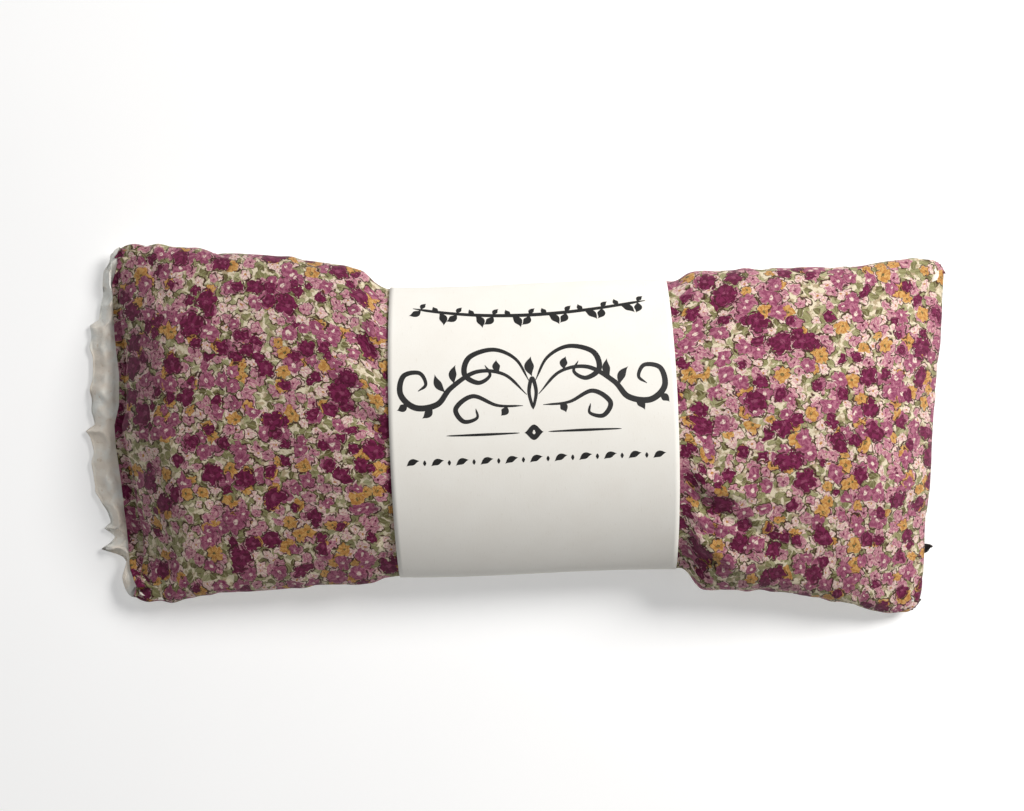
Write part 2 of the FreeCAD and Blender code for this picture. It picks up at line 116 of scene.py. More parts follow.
def smooth_curve(x, y, at):
    """A smooth curve through points, without overshoot."""
    x, y = np.asarray(x, float), np.asarray(y, float)
    at = np.clip(at, x[0], x[-1])
    tangent = slopes(x, y)
    k = np.clip(np.searchsorted(x, at) - 1, 0, len(x) - 2)
    width = x[k + 1] - x[k]
    t = (at - x[k]) / width
    a = (1 + 2 * t) * (1 - t) ** 2 * y[k] + t * (1 - t) ** 2 * width * tangent[k]
    return a + t * t * (3 - 2 * t) * y[k + 1] + t * t * (t - 1) * width * tangent[k + 1]


def section_at(x):
    """The cross-section's numbers at a distance along, in metres, the turn in radians."""
    columns = [smooth_curve(SECTIONS[:, 0] * MM, SECTIONS[:, k], x) for k in range(1, 7)]
    half, seam, crown, belly, turn, shift = columns
    return half * MM, seam * MM, crown * MM, belly * MM, np.radians(turn), shift * MM


def cover_points(x, v, side):
    """Points of the filled cover: v is -1 at the near seam and 1 at the far one."""
    half, seam, crown, belly, turn, shift = section_at(x)
    across = v * half
    if side > 0:
        radius = (half**2 + crown**2) / (2 * crown)
        z = seam + np.sqrt(np.maximum(radius**2 - across**2, 0)) - radius + crown
    else:
        drop = seam - belly
        flat = half * FLAT_SHARE
        reach = half - flat
        radius = (reach**2 + drop**2) / (2 * drop)
        beyond = np.clip(np.abs(across) - flat, 0, None)
        z = belly + radius - np.sqrt(np.maximum(radius**2 - beyond**2, 0))
    along = x + CENTRING - across * np.sin(turn)
    return np.stack([along, shift + across * np.cos(turn), z], -1)


def ring_smooth(points, weight, rounds):
    """Rounds the corners of closed cross-sections; weight says how much, row by row."""
    smooth = points
    for _ in range(rounds):
        smooth = (np.roll(smooth, 1, 1) + 2 * smooth + np.roll(smooth, -1, 1)) / 4
    smooth = points + weight[:, None, None] * (smooth - points)
    middle = smooth.mean(1, keepdims=True)
    lost = np.ptp(points[..., 1], 1) / np.ptp(smooth[..., 1], 1)
    smooth[..., :2] = middle[..., :2] + (smooth - middle)[..., :2] * lost[:, None, None]
    return smooth


def filled_cover(columns, rows):
    """Top and bottom grids of the filled cover, before the cloth settles."""
    x = np.linspace(-HALF_LENGTH, HALF_LENGTH, columns + 1)
    v = np.sin(np.linspace(-1, 1, rows + 1) * 1.12) / math.sin(1.12)
    grid_x, grid_v = np.meshgrid(x, v, indexing="ij")
    top = cover_points(grid_x, grid_v, 1)
    bottom = cover_points(grid_x, grid_v, -1)
    ring = np.concatenate([top, bottom[:, -2:0:-1]], 1)
    ends = np.clip((HALF_LENGTH - np.abs(x)) / (60 * MM), 0, 1)
    ring = ring_smooth(ring, 0.15 + 0.85 * ends**0.7, 14)
    top = ring[:, : rows + 1]
    bottom = np.concatenate([top[:, :1], ring[:, :rows:-1], top[:, -1:]], 1)
    return grid_x, grid_v, top, bottom


def band_place(points):
    """Distance along the band's own axis, from its middle."""
    middle = CENTRING + BAND_MIDDLE
    return (points[..., 0] - middle) * math.cos(BAND_TURN) + points[..., 1] * math.sin(BAND_TURN)


def quads(columns, rows, start=0, flip=False):
    """Faces of a grid whose points run row by row."""
    faces = []
    for i in range(columns):
        for j in range(rows):
            a = start + i * (rows + 1) + j
            face = (a, a + rows + 1, a + rows + 2, a + 1)
            faces.append(face[::-1] if flip else face)
    return faces


def settle(grid_x, grid_v, top, bottom):
    """Cloth simulation of the stuffed cover: flat-cut panels over the filled shape."""
    scale = 10.0  # the solver works better on a larger cloth
    edge = np.zeros(grid_x.shape, bool)
    edge[0] = edge[-1] = edge[:, 0] = edge[:, -1] = True
    top_index = np.arange(grid_x.size).reshape(grid_x.shape)
    bottom_index = top_index.copy()
    bottom_index[~edge] = grid_x.size + np.arange((~edge).sum())
    points = np.concatenate([top.reshape(-1, 3), bottom[~edge]]) * scale
    flat = np.stack([grid_x, grid_v * CUT_HALF_WIDTH, np.zeros_like(grid_x)], -1)
    below = flat[~edge] - (0, 0, 0.05 * MM)
    flat = np.concatenate([flat.reshape(-1, 3), below]) * scale
    faces = []
    for index, order in ((top_index, 1), (bottom_index, -1)):
        corners = [index[:-1, :-1], index[1:, :-1], index[1:, 1:], index[:-1, 1:]]
        faces += [tuple(int(c) for c in f)[::order] for f in np.stack(corners, -1).reshape(-1, 4)]
    mesh = bpy.data.meshes.new("settling")
    mesh.from_pydata(points.tolist(), [], faces)
    cloth = bpy.data.objects.new("settling", mesh)
    bpy.context.collection.objects.link(cloth)
    cloth.shape_key_add(name="Basis")
    cut = cloth.shape_key_add(name="cut")
    cut.data.foreach_set("co", flat.ravel())
    held = np.abs(band_place(points / scale)) < BAND_HALF - 0.4 * MM
    held[top_index[[0, -1]].ravel()] = True
    group = cloth.vertex_groups.new(name="held")
    group.add([int(n) for n in np.flatnonzero(held)], 1.0, "REPLACE")
    modifier = cloth.modifiers.new("cloth", "CLOTH")
    modifier.point_cache.frame_end = SETTLE_FRAMES
    rules = modifier.settings
    rules.vertex_group_mass = "held"
    rules.rest_shape_key = cut
    rules.quality = 5
    rules.tension_stiffness, rules.compression_stiffness = 40, 30
    rules.shear_stiffness, rules.bending_stiffness = 6, 0.25
    rules.air_damping = 6
    rules.use_pressure = True
    rules.uniform_pressure_force = 2.2
    rules.effector_weights.gravity = 0
    for step in range(1, SETTLE_FRAMES + 1):
        bpy.context.scene.frame_set(step)
    settled = np.zeros(len(points) * 3)
    seen = cloth.evaluated_get(bpy.context.evaluated_depsgraph_get())
    seen.data.vertices.foreach_get("co", settled)
    settled = settled.reshape(-1, 3)
    bpy.context.scene.frame_set(1)
    bpy.data.objects.remove(cloth)
    bpy.data.meshes.remove(mesh)
    move = (settled - points) / scale
    length = np.linalg.norm(move, axis=1, keepdims=True)
    move *= np.minimum(1, SETTLE_CAP * np.tanh(length / SETTLE_CAP) / np.maximum(length, 1e-9))
    done = points / scale + move
    done[:, 2] = np.maximum(done[:, 2], 0)
    under, rests = done[bottom_index], fade(HALF_LENGTH + grid_x, 24 * MM)[..., None]
    return done[top_index], bottom + (under - bottom) * rests


def double(grid, axis):
    """Twice as many steps along one axis, on a curve through the old points."""
    grid = np.moveaxis(grid, axis, 0)
    behind = np.concatenate([2 * grid[:1] - grid[1:2], grid[:-1]])
    ahead = np.concatenate([grid[1:], 2 * grid[-1:] - grid[-2:-1]])
    middle = (9 * (grid[:-1] + grid[1:]) - behind[:-1] - ahead[1:]) / 16
    out = np.empty((2 * len(grid) - 1,) + grid.shape[1:])
    out[::2] = grid
    out[1::2] = middle
    return np.moveaxis(out, 0, axis)


def normals(grid):
    """Unit normals of a grid, upwards where the first axis is +X and the second +Y."""
    normal = np.cross(np.gradient(grid, axis=0), np.gradient(grid, axis=1))
    return normal / np.maximum(np.linalg.norm(normal, axis=-1, keepdims=True), 1e-12)


def noise(u, v, size, seed):
    """Smooth random bumps from -1 to 1, of about the given size."""
    lattice = np.random.default_rng(seed).uniform(-1, 1, (97, 97))
    u, v = u / size, v / size
    i, j = np.floor(u).astype(int), np.floor(v).astype(int)
    a, b = u - i, v - j
    a, b = a * a * (3 - 2 * a), b * b * (3 - 2 * b)
    near = lattice[i % 97, j % 97] * (1 - a) + lattice[(i + 1) % 97, j % 97] * a
    far = lattice[i % 97, (j + 1) % 97] * (1 - a) + lattice[(i + 1) % 97, (j + 1) % 97] * a
    return near * (1 - b) + far * b


def fade(distance, width):
    """0 at no distance, rising smoothly to 1 at the given width."""
    t = np.clip(distance / width, 0, 1)
    return t * t * (3 - 2 * t)


def wave(table, v):
    """A drawn edge: millimetres by share across, as metres."""
    share, depth = zip(*table)
    return np.interp(v, share, depth) * MM


def make_object(name, points, faces, uv=None, smooth=True):
    """A mesh object, with the cloth's flat cut as a UV map where it has one."""
    mesh = bpy.data.meshes.new(name)
    mesh.from_pydata(np.asarray(points).reshape(-1, 3).tolist(), [], faces)
    if uv is not None:
        corner = np.zeros(len(mesh.loops), int)
        mesh.loops.foreach_get("vertex_index", corner)
        layer = mesh.uv_layers.new(name="cut")
        layer.data.foreach_set("uv", np.asarray(uv).reshape(-1, 2)[corner].ravel())
    mesh.polygons.foreach_set("use_smooth", [smooth] * len(mesh.polygons))
    obj = bpy.data.objects.new(name, mesh)
    bpy.context.collection.objects.link(obj)
    return obj


def shell(outer, inner):
    """A closed skin between two grids, as points and faces; outer is the grid seen."""
    columns, rows = outer.shape[0] - 1, outer.shape[1] - 1
    index = np.arange(outer.shape[0] * outer.shape[1]).reshape(outer.shape[:2])
    below = index + index.size
    faces = quads(columns, rows) + quads(columns, rows, index.size, flip=True)
    rim = np.concatenate([index[:, 0], index[-1, 1:], index[-2::-1, -1], index[0, -2:0:-1]])
    low = np.concatenate([below[:, 0], below[-1, 1:], below[-2::-1, -1], below[0, -2:0:-1]])
    for a, b, c, d in zip(rim, np.roll(rim, -1), np.roll(low, -1), low):
        faces.append((int(d), int(c), int(b), int(a)))
    return np.concatenate([outer.reshape(-1, 3), inner.reshape(-1, 3)]), faces


def finish_soft(obj, body, material, replaced=()):
    """Gives a soft piece its material and body, and hides the nodes it stands for."""
    obj.data.materials.append(material)
    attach(obj, body)
    if replaced:
        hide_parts(*replaced)
    if body != "insert":
        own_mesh(obj)
    return obj


# ---------------------------------------------------------------- the cover

def round_corners(grid, x, v, radius):
    """Draws the four corners of the outline in, as sewn corners are."""
    along = HALF_LENGTH - np.abs(x)
    across = (1 - np.abs(v)) * CUT_HALF_WIDTH
    radius = np.where(x > 0, radius, radius * 0.8)
    corner = np.clip(1 - np.hypot(along, across) / radius, 0, 1) ** 2
    moved = grid.copy()
    moved[..., 0] -= np.sign(x) * corner * radius * 0.32
    moved[..., 1] -= np.sign(v) * corner * radius * 0.32
    return moved


def wrinkles(x, v, place):
    """Height of the cloth's folds and creases over the stuffed shape."""
    y = v * CUT_HALF_WIDTH
    lumps = 0.42 * noise(x, y, 13 * MM, 3) + 0.20 * noise(x + y, y - x, 7.5 * MM, 4)
    creases = 1 - np.abs(noise(x * 0.8 + y * 0.5, y * 0.8 - x * 0.3, 9 * MM, 5)) * 3.2
    height = lumps - 0.28 * np.clip(creases, 0, 1) ** 2
    side = 1 - np.abs(v)
    pucker = noise(x, np.zeros_like(x), 3.6 * MM, 6) * np.exp(-((side / 0.09) ** 2))
    height = height * fade(side, 0.12) + 0.5 * pucker
    for x0, y0, x1, y1, width, depth in FOLDS:
        run = np.array((x1 - x0, y1 - y0))
        length = np.hypot(*run)
        t = np.clip(((x / MM - x0) * run[0] + (y / MM - y0) * run[1]) / length**2, 0, 1)
        off = np.hypot(x / MM - x0 - t * run[0], y / MM - y0 - t * run[1])
        height += depth * np.exp(-((off / (width * (1 - 0.45 * t))) ** 2)) * (1 - t) ** 0.6
    return height * MM * fade(np.abs(place) - BAND_HALF, 5 * MM)


# Folds that run out from the band: from, to, width and height, in millimetres on the cut cloth.
FOLDS = [
    (-38, 1, -57, 6, 4.4, -1.5), (-40, -12, -53, -16, 3.6, 1.1), (-40, 13, -55, 21, 3.2, 1.0),
    (-40, 24, -52, 34, 2.6, -1.0), (-40, 33, -49, 42, 2.2, 0.9), (-40, -26, -54, -35, 3.2, -1.1),
    (-40, -36, -50, -44, 2.2, 0.8), (44, 3, 58, 0, 4.0, -1.0), (44, 15, 60, 22, 3.0, 0.9),
    (44, -14, 62, -20, 3.4, 1.2), (44, -22, 66, -32, 3.0, -1.3), (44, -33, 58, -41, 2.4, 1.0),
    (44, 30, 56, 40, 2.4, -0.9),
]


def tucked(grid):
    """Adds the seam allowance: two rows turned in under each side and the closed end."""
    drop = (0, 0, 0.35 * MM)

    def turned(edge, inner):
        inward = (inner - edge) * (1, 1, 0)
        inward /= np.linalg.norm(inward, axis=-1, keepdims=True)
        return edge + inward * SEAM_TUCK * 0.45 - drop, edge + inward * SEAM_TUCK * 2 - drop

    near, near_end = turned(grid[:, 0], grid[:, 6])
    far, far_end = turned(grid[:, -1], grid[:, -7])
    grid = np.concatenate([near_end[:, None], near[:, None], grid, far[:, None],
                           far_end[:, None]], 1)
    end, last = turned(grid[-1], grid[-7])
    return np.concatenate([grid, end[None], last[None]], 0)


def padded_uv(x, v, ahead):
    """Flat-cut coordinates for a tucked grid: two more rows each side, two more columns."""
    y = v * CUT_HALF_WIDTH
    x = np.pad(x, ((0, 0), (2, 2)), mode="edge")
    side = CUT_HALF_WIDTH + SEAM_TUCK * 2
    y = np.pad(y, ((0, 0), (2, 2)), mode="linear_ramp", end_values=((0, 0), (-side, side)))
    x = np.pad(x, ((0, 2), (0, 0)), mode="linear_ramp",
               end_values=((0, x[-1, 0] + SEAM_TUCK * 2), (0, 0)))
    y = np.pad(y, ((0, 2), (0, 0)), mode="edge")
    if len(ahead):
        x = np.concatenate([np.broadcast_to(ahead[:, None], (len(ahead), x.shape[1])), x])
        y = np.concatenate([np.broadcast_to(y[:1], (len(ahead), y.shape[1])), y])
    return np.stack([x, y], -1)


def make_cover_front(x, v, top, material):
    """The printed cotton: puffed top, turned seams, and a rolled hem at the mouth."""
    normal = normals(top)
    cloth = top + normal * wrinkles(x, v, band_place(top))[..., None]
    cloth[..., 1] += 0.35 * MM * np.sign(v) * np.abs(v) ** 12
    cloth[..., 0] += 0.35 * MM * np.clip(x / HALF_LENGTH, 0, 1) ** 24
    back = fade(HALF_LENGTH + x, 22 * MM)
    cloth[..., 0] += wave(HEM_WAVE, v) * (1 - back)
    cloth = tucked(cloth)
    normal = normals(cloth)
    hem = int(10 * MM / (x[1, 0] - x[0, 0]))
    under = (cloth[:hem] - normal[:hem] * 2.1 * CLOTH)[::-1]
    outward = cloth[0] - cloth[1]
    outward /= np.linalg.norm(outward, axis=-1, keepdims=True)
    fold = []
    for angle in np.radians((-60, -30, 0, 30, 60)):
        arm = math.cos(angle) * outward + math.sin(angle) * normal[0]
        fold.append(cloth[0] - normal[0] * 1.05 * CLOTH + arm * 1.05 * CLOTH)
    sheet = np.concatenate([under, np.array(fold), cloth])
    step = x[1, 0] - x[0, 0]
    ahead = x[0, 0] - np.arange(hem + 5, 0, -1) * step
    uv = padded_uv(x, v, ahead)
    inner = sheet - normals(sheet) * CLOTH
    points, faces = shell(sheet, inner)
    obj = make_object("cover_front_cloth", points, faces, np.concatenate([uv, uv]))
    return finish_soft(obj, "cover", material, ["cover_front"])


def fleece(u, v):
    """Height of the plush's matted curls, from 0 up, in millimetres."""
    bend = 2.2 * MM * noise(u, v, 6 * MM, 11)
    curl = 1 - np.abs(noise(u + bend, v - bend, 4.4 * MM, 12)) * 1.3
    lump = 0.5 + 0.5 * noise(u, v, 6.5 * MM, 13)
    fine = 0.5 + 0.5 * noise(u - bend, v + bend, 1.5 * MM, 14)
    return 0.95 * np.clip(curl, 0, 1) + 1.0 * lump + 0.25 * fine


def tube(points, faces, middles, way, side, reaches, twist=0.0, tip=None):
    """Adds a closed tube: the middles of its rings and each ring's reach at every corner."""
    up, count, base = np.cross(way, side), len(reaches[0]), len(points)
    for ring, (middle, reach) in enumerate(zip(middles, reaches)):
        for k in range(count):
            angle = 2 * math.pi * k / count + ring * twist
            points.append(middle + (side * math.cos(angle) + up * math.sin(angle)) * reach[k])
    last = base + (len(reaches) - 1) * count
    for ring in range(base, last, count):
        for k in range(count):
            a, b = ring + k, ring + (k + 1) % count
            faces.append((a, b, b + count, a + count))
    faces.append(tuple(base + k for k in range(count - 1, -1, -1)))
    if tip is None:
        faces.append(tuple(last + k for k in range(count)))
    else:
        points.append(tip)
        faces += [(last + k, last + (k + 1) % count, last + count) for k in range(count)]


def locks(roots, ways, lengths, widths, seed):
    """Pointed locks of pile, five-sided and curling, as points and faces."""
    random = np.random.default_rng(seed)
    points, faces = [], []
    for root, way, length, width in zip(roots, ways, lengths, widths):
        way = Vector(way).normalized()
        side = np.array(way.orthogonal().normalized())
        way, curl = np.array(way), random.normal(0, 0.35, 3)
        shares = (0, 0.3, 0.6, 0.85)
        middles = [root + (way + curl * share) * length * share for share in shares]
        reaches = [[width * (1 - share) ** 0.7] * 5 for share in shares]
        tube(points, faces, middles, way, side, reaches, 0.4, root + (way + curl) * length)
    return np.array(points), faces


PLUSH_WAVE = [(-1, 0), (-0.99, 1.0), (-0.8, 1.4), (-0.76, 2.6), (-0.725, 8.8), (-0.69, 6.2),
              (-0.65, 5.0), (-0.605, 7.4), (-0.57, 5.2), (-0.5, 6.4), (-0.4, 9.8), (-0.23, 10.4),
              (-0.178, 9.6), (-0.083, 10.4), (-0.055, 11.4), (-0.02, 9.0), (0.12, 10.0),
              (0.35, 9.3), (0.5, 9.2), (0.54, 9.6), (0.58, 6.4), (0.7, 5.4), (0.86, 4.6),
              (0.96, 2.0), (1, 0)]


def make_cover_back(x, v, bottom, material):
    """The plush: underside, sides and the ragged lip that stands out past the mouth."""
    reach = wave(PLUSH_WAVE, v[0])
    reach = reach + 0.5 * MM * fade(reach, 4 * MM) * noise(v[0], 0 * v[0], 0.06, 16)
    steps = np.linspace(1, 0, LIP_COLUMNS, endpoint=False)
    lip = np.repeat(bottom[:1], LIP_COLUMNS, 0)
    lip[..., 0] -= steps[:, None] * reach
    rise = 1.4 * MM * steps[:, None] ** 3
    lip[..., 2] = lip[..., 2] * (1 - steps[:, None] * 0.5) + rise
    grid = np.concatenate([lip, bottom])
    along = np.concatenate([x[:1] - steps[:, None] * reach, x])
    across = np.concatenate([np.repeat(v[:1], LIP_COLUMNS, 0), v]) * CUT_HALF_WIDTH
    side = 1 - np.abs(across) / CUT_HALF_WIDTH
    outward = -normals(grid)
    grid[..., 1] -= 0.55 * MM * np.sign(across) * np.abs(across / CUT_HALF_WIDTH) ** 8
    grid[..., 0] -= 0.55 * MM * np.clip(along / HALF_LENGTH, 0, 1) ** 16
    corner = 1.3 * MM * np.clip(np.abs(along) / HALF_LENGTH, 0, 1) ** 40
    corner = corner * np.abs(across / CUT_HALF_WIDTH) ** 20
    corner[:LIP_COLUMNS] = 0
    grid[..., 0] -= corner * np.sign(along)
    grid[..., 1] -= corner * np.sign(across)
    seam = fade(side, 0.07) * fade(HALF_LENGTH - along, 5 * MM)
    pile = fleece(along, across)
    outer = grid + outward * ((pile * 0.55 - 0.75) * MM * seam)[..., None]
    outer[..., 2] = np.maximum(outer[..., 2], OFF_FLOOR)
    thick = (1.0 + 2.2 * fade(side, 0.12)) * MM
    past = np.zeros(grid.shape[:2])
    past[:LIP_COLUMNS] = np.sin(np.pi * (1 - steps[:, None]) * 0.5) ** 0.45
    swell = fade(steps - 0.2, 0.5)[:, None] * fade(side[:LIP_COLUMNS], 0.3)
    thick[:LIP_COLUMNS] += 2.6 * MM * past[:LIP_COLUMNS] * swell
    inner = grid - outward * thick[..., None]
    top = fleece(along * 1.1 + 0.02, across) * MM
    puffs = 1.3 * MM * noise(along, across * 1.2, 5 * MM, 17)
    inner[:LIP_COLUMNS, :, 2] += ((top[:LIP_COLUMNS] - MM) * 1.9 + puffs[:LIP_COLUMNS]) * swell
    inner[:LIP_COLUMNS] = (grid[:LIP_COLUMNS] * (1 - past[:LIP_COLUMNS, :, None])
                           + inner[:LIP_COLUMNS] * past[:LIP_COLUMNS, :, None])
    points, faces = shell(inner, outer)
    uv = np.stack([along, across], -1)
    uv = np.concatenate([uv.reshape(-1, 2), uv.reshape(-1, 2)])
    random = np.random.default_rng(21)
    roots, ways, lengths, widths = [], [], [], []
    for _ in range(1500):
        i = random.integers(LIP_COLUMNS + 2, grid.shape[0] - 3)
        edge = random.random() < 0.5
        j = random.integers(5, 24)
        j = grid.shape[1] - 1 - j if edge else j
        roots.append(outer[i, j] - outward[i, j] * 0.3 * MM)
        way = outward[i, j] * 0.5 + np.array((random.normal(0, 0.6), 0, -0.9))
        ways.append(tuple(way))
        lengths.append(random.uniform(0.8, 1.7) * MM)
        widths.append(random.uniform(0.35, 0.6) * MM)
    tips, tip_faces = locks(roots, ways, lengths, widths, 22)
    tips[:, 2] = np.maximum(tips[:, 2], OFF_FLOOR)
    faces += [tuple(int(n) + len(points) for n in face) for face in tip_faces]
    uv = np.concatenate([uv, tips[:, :2]])
    obj = make_object("cover_back_plush", np.concatenate([points, tips]), faces, uv)
    return finish_soft(obj, "cover", material, ["cover_back"])


def make_facing(x, v, bottom, material):
    """The printed strip sewn inside the plush's mouth, its folded edge showing."""
    rows = 100
    share = np.linspace(-0.955, 0.955, rows + 1)
    edge = -HALF_LENGTH + wave(FACING_WAVE, share)
    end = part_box("mouth_facing")[1].x - CENTRING
    along = np.linspace(0, 1, 25)[:, None] ** 1.3
    flat_x = edge[None] * (1 - along) + end * along
    flat_v = np.broadcast_to(share, flat_x.shape)
    inner = bottom + normals(bottom) * 3.5 * MM
    lift = sample(inner, x, v, np.maximum(flat_x, -HALF_LENGTH), flat_v)
    lift[..., 0] += np.minimum(flat_x + HALF_LENGTH, 0)
    lift[..., 2] += (0.9 + 0.35 * noise(flat_x, flat_v * CUT_HALF_WIDTH, 6 * MM, 31)) * MM
    low = lift - (0, 0, CLOTH)
    lift[0, :, 2] -= 0.12 * MM
    points, faces = shell(lift, low)
    uv = np.stack([flat_x, flat_v * CUT_HALF_WIDTH], -1).reshape(-1, 2)
    obj = make_object("mouth_facing_strip", points, faces, np.concatenate([uv, uv]))
    return finish_soft(obj, "cover", material, ["mouth_facing"])


def between(grid, i, j):
    """A grid's points at whole or part steps along its two axes."""
    i0 = np.clip(np.floor(i).astype(int), 0, grid.shape[0] - 2)
    j0 = np.clip(np.floor(j).astype(int), 0, grid.shape[1] - 2)
    a, b = (i - i0)[..., None], (j - j0)[..., None]
    near = grid[i0, j0] * (1 - a) + grid[i0 + 1, j0] * a
    far = grid[i0, j0 + 1] * (1 - a) + grid[i0 + 1, j0 + 1] * a
    return near * (1 - b) + far * b


def sample(grid, x, v, at_x, at_v):
    """A grid's points at given places along and across the cut cloth."""
    i = np.interp(at_x, x[:, 0], np.arange(len(x)))
    return between(grid, i, np.interp(at_v, v[0], np.arange(v.shape[1])))


# ---------------------------------------------------------------- stitches

def make_stitches(name, runs, body, material, replaced, radius=0.2 * MM):
    """Sewn thread: one short sunken bead per stitch, along runs of closely spaced points."""
    pitch, length = 3.0 * MM, 2.2 * MM
    points, faces = [], []
    for run in runs:
        gone = np.concatenate([[0], np.cumsum(np.linalg.norm(np.diff(run, axis=0), axis=1))])
        for start in np.arange(0.4 * MM, gone[-1] - length, pitch):
            spots = start + np.linspace(0, 1, 6) * length
            middle = np.stack([np.interp(spots, gone, run[:, k]) for k in range(3)], -1)
            way = middle[-1] - middle[0]
            way /= np.linalg.norm(way)
            side = np.cross(way, (0, 0, 1))
            side /= max(np.linalg.norm(side), 1e-9)
            reaches = [[radius * size] * 6 for size in (0.35, 0.85, 1, 1, 0.85, 0.35)]
            tube(points, faces, middle, way, side, reaches)
    obj = make_object(name, np.array(points), faces)
    return finish_soft(obj, body, material, replaced)


def make_cover_stitches(x, v, top, bottom, thread):
    """The cover's seams, hem and facing stitching, just inside the cloth's edges."""
    join = (top + bottom) / 2

    def inside(edge, inner, depth):
        inward = inner - edge
        return edge + inward / np.linalg.norm(inward, axis=-1, keepdims=True) * depth

    depth = 1.5 * MM
    far = inside(top[:, -1], join[:, -7], depth)[3:-4]
    near = inside(top[:, 0], join[:, 6], depth)[3:-4]
    end = inside(top[-1], join[-7], depth)[3:-3]
    column = int(8 * MM / (x[1, 0] - x[0, 0]))
    hem = (top - normals(top) * 1.5 * MM)[column, 6:-6]
    hem[:, 0] += wave(HEM_WAVE, v[0, 6:-6]) * (1 - fade(np.array(8 * MM), 22 * MM))
    facing = (bottom + normals(bottom) * 4.0 * MM)[column, 8:-8]
    for name, run in (("far_seam", far), ("near_seam", near), ("end_seam", end), ("hem", hem),
                      ("facing", facing)):
        make_stitches(name + "_thread", [run], "cover", thread,
                      [name + "_stitches"])


# ---------------------------------------------------------------- the insert and its filling

def inset(x, v, top, bottom, ends, share, over, under):
    """A closed bag inside the cover: its top and bottom grids, between two ends."""
    rows, columns = 72, 150
    at_x = np.linspace(ends[0], ends[1], columns + 1)[:, None]
    at_v = np.sin(np.linspace(-1, 1, rows + 1) * 1.2)[None] / math.sin(1.2) * share
    at_x, at_v = np.broadcast_arrays(at_x, at_v)
    upper = sample(top - normals(top) * over, x, v, at_x, at_v)
    lower = sample(bottom + normals(bottom) * under, x, v, at_x, at_v)
    from_end = np.minimum(at_x - ends[0], ends[1] - at_x)
    open_by = np.sqrt(np.clip(1 - (1 - np.clip(from_end / (20 * MM), 0, 1)) ** 2, 0, 1))
    open_by = open_by * np.sqrt(np.clip(1 - (np.abs(at_v) / share) ** 6, 0, 1))
    middle = slice(rows // 2, rows // 2 + 1)
    level = np.broadcast_to((upper + lower)[:, middle, 2:] / 2, upper[..., 2:].shape)
    seam = np.minimum(level, 9 * MM) * 0.5 + (upper + lower)[..., 2:] * 0.25
    for grid in (upper, lower):
        grid[..., 2:] = seam + (grid[..., 2:] - seam) * open_by[..., None]
    return at_x, at_v, upper, lower


def make_insert(x, v, top, bottom, calico, seeds, thread):
    """The calico bag of flax seed, its two panels, its filling and its closing stitches."""
    low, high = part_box("insert_front")
    ends = (low.x - CENTRING + 1.2 * MM, high.x - CENTRING - 1.2 * MM)
    at_x, at_v, upper, lower = inset(x, v, top, bottom, ends, 0.93, 2.4 * MM, 4.9 * MM)
    y = at_v * CUT_HALF_WIDTH
    edge = fade(1 - np.abs(at_v) / 0.93, 0.1)
    grain = 0.14 * noise(at_x, y, 2.6 * MM, 41) + 0.3 * noise(at_x, y, 9 * MM, 42) - 0.3
    upper = upper + normals(upper) * (grain * edge * MM)[..., None]
    lower = lower - normals(lower) * (grain * edge * MM)[..., None]
    uv = np.stack([at_x, y], -1).reshape(-1, 2)
    uv = np.concatenate([uv, uv])
    pucker = noise(at_x[:, 0], 0 * at_x[:, 0], 3 * MM, 43) * 0.25 * MM
    for grid in (upper, lower):
        grid[:, 0, 1] += pucker
        grid[:, -1, 1] += pucker
    for name, grid, way, node in (("insert_front_panel", upper, 1, "insert_front"),
                                  ("insert_back_panel", lower, -1, "insert_back")):
        inner = grid - normals(grid) * way * 0.45 * MM
        points, faces = shell(grid, inner) if way > 0 else shell(inner, grid)
        obj = make_object(name, points, faces, uv)
        finish_soft(obj, "insert", calico, [node])
    _, _, over, under = inset(x, v, top, bottom, (ends[0] + 4 * MM, ends[1] - 5 * MM), 0.87,
                              3.3 * MM, 6.0 * MM)
    heap = 0.18 * noise(at_x, y, 1.8 * MM, 44) - 0.2
    over = over + normals(over) * (heap * MM)[..., None]
    points, faces = shell(over, under)
    fill = make_object("flax_seed_heap", points, faces, uv)
    finish_soft(fill, "insert", seeds, ["flax_seed_fill"])
    rim = (upper + lower) / 2
    end = rim[-1] + (-1.0 * MM, 0, 0.5 * MM)
    sides = [rim[2:-2, 0] + (0, 1.0 * MM, 0.5 * MM), rim[2:-2, -1] + (0, -1.0 * MM, 0.5 * MM),
             rim[0, 2:-2] + (1.0 * MM, 0, 0.5 * MM), end[2:26], end[47:71]]
    make_stitches("insert_seam_thread", sides, "insert", thread,
                  ["insert_seam_stitches"])
    close = [end[27:46] + (0, 0, 0.1 * MM)]
    make_stitches("insert_closing_thread", close, "insert", thread,
                  ["insert_closing_stitches"], 0.26 * MM)
    return over


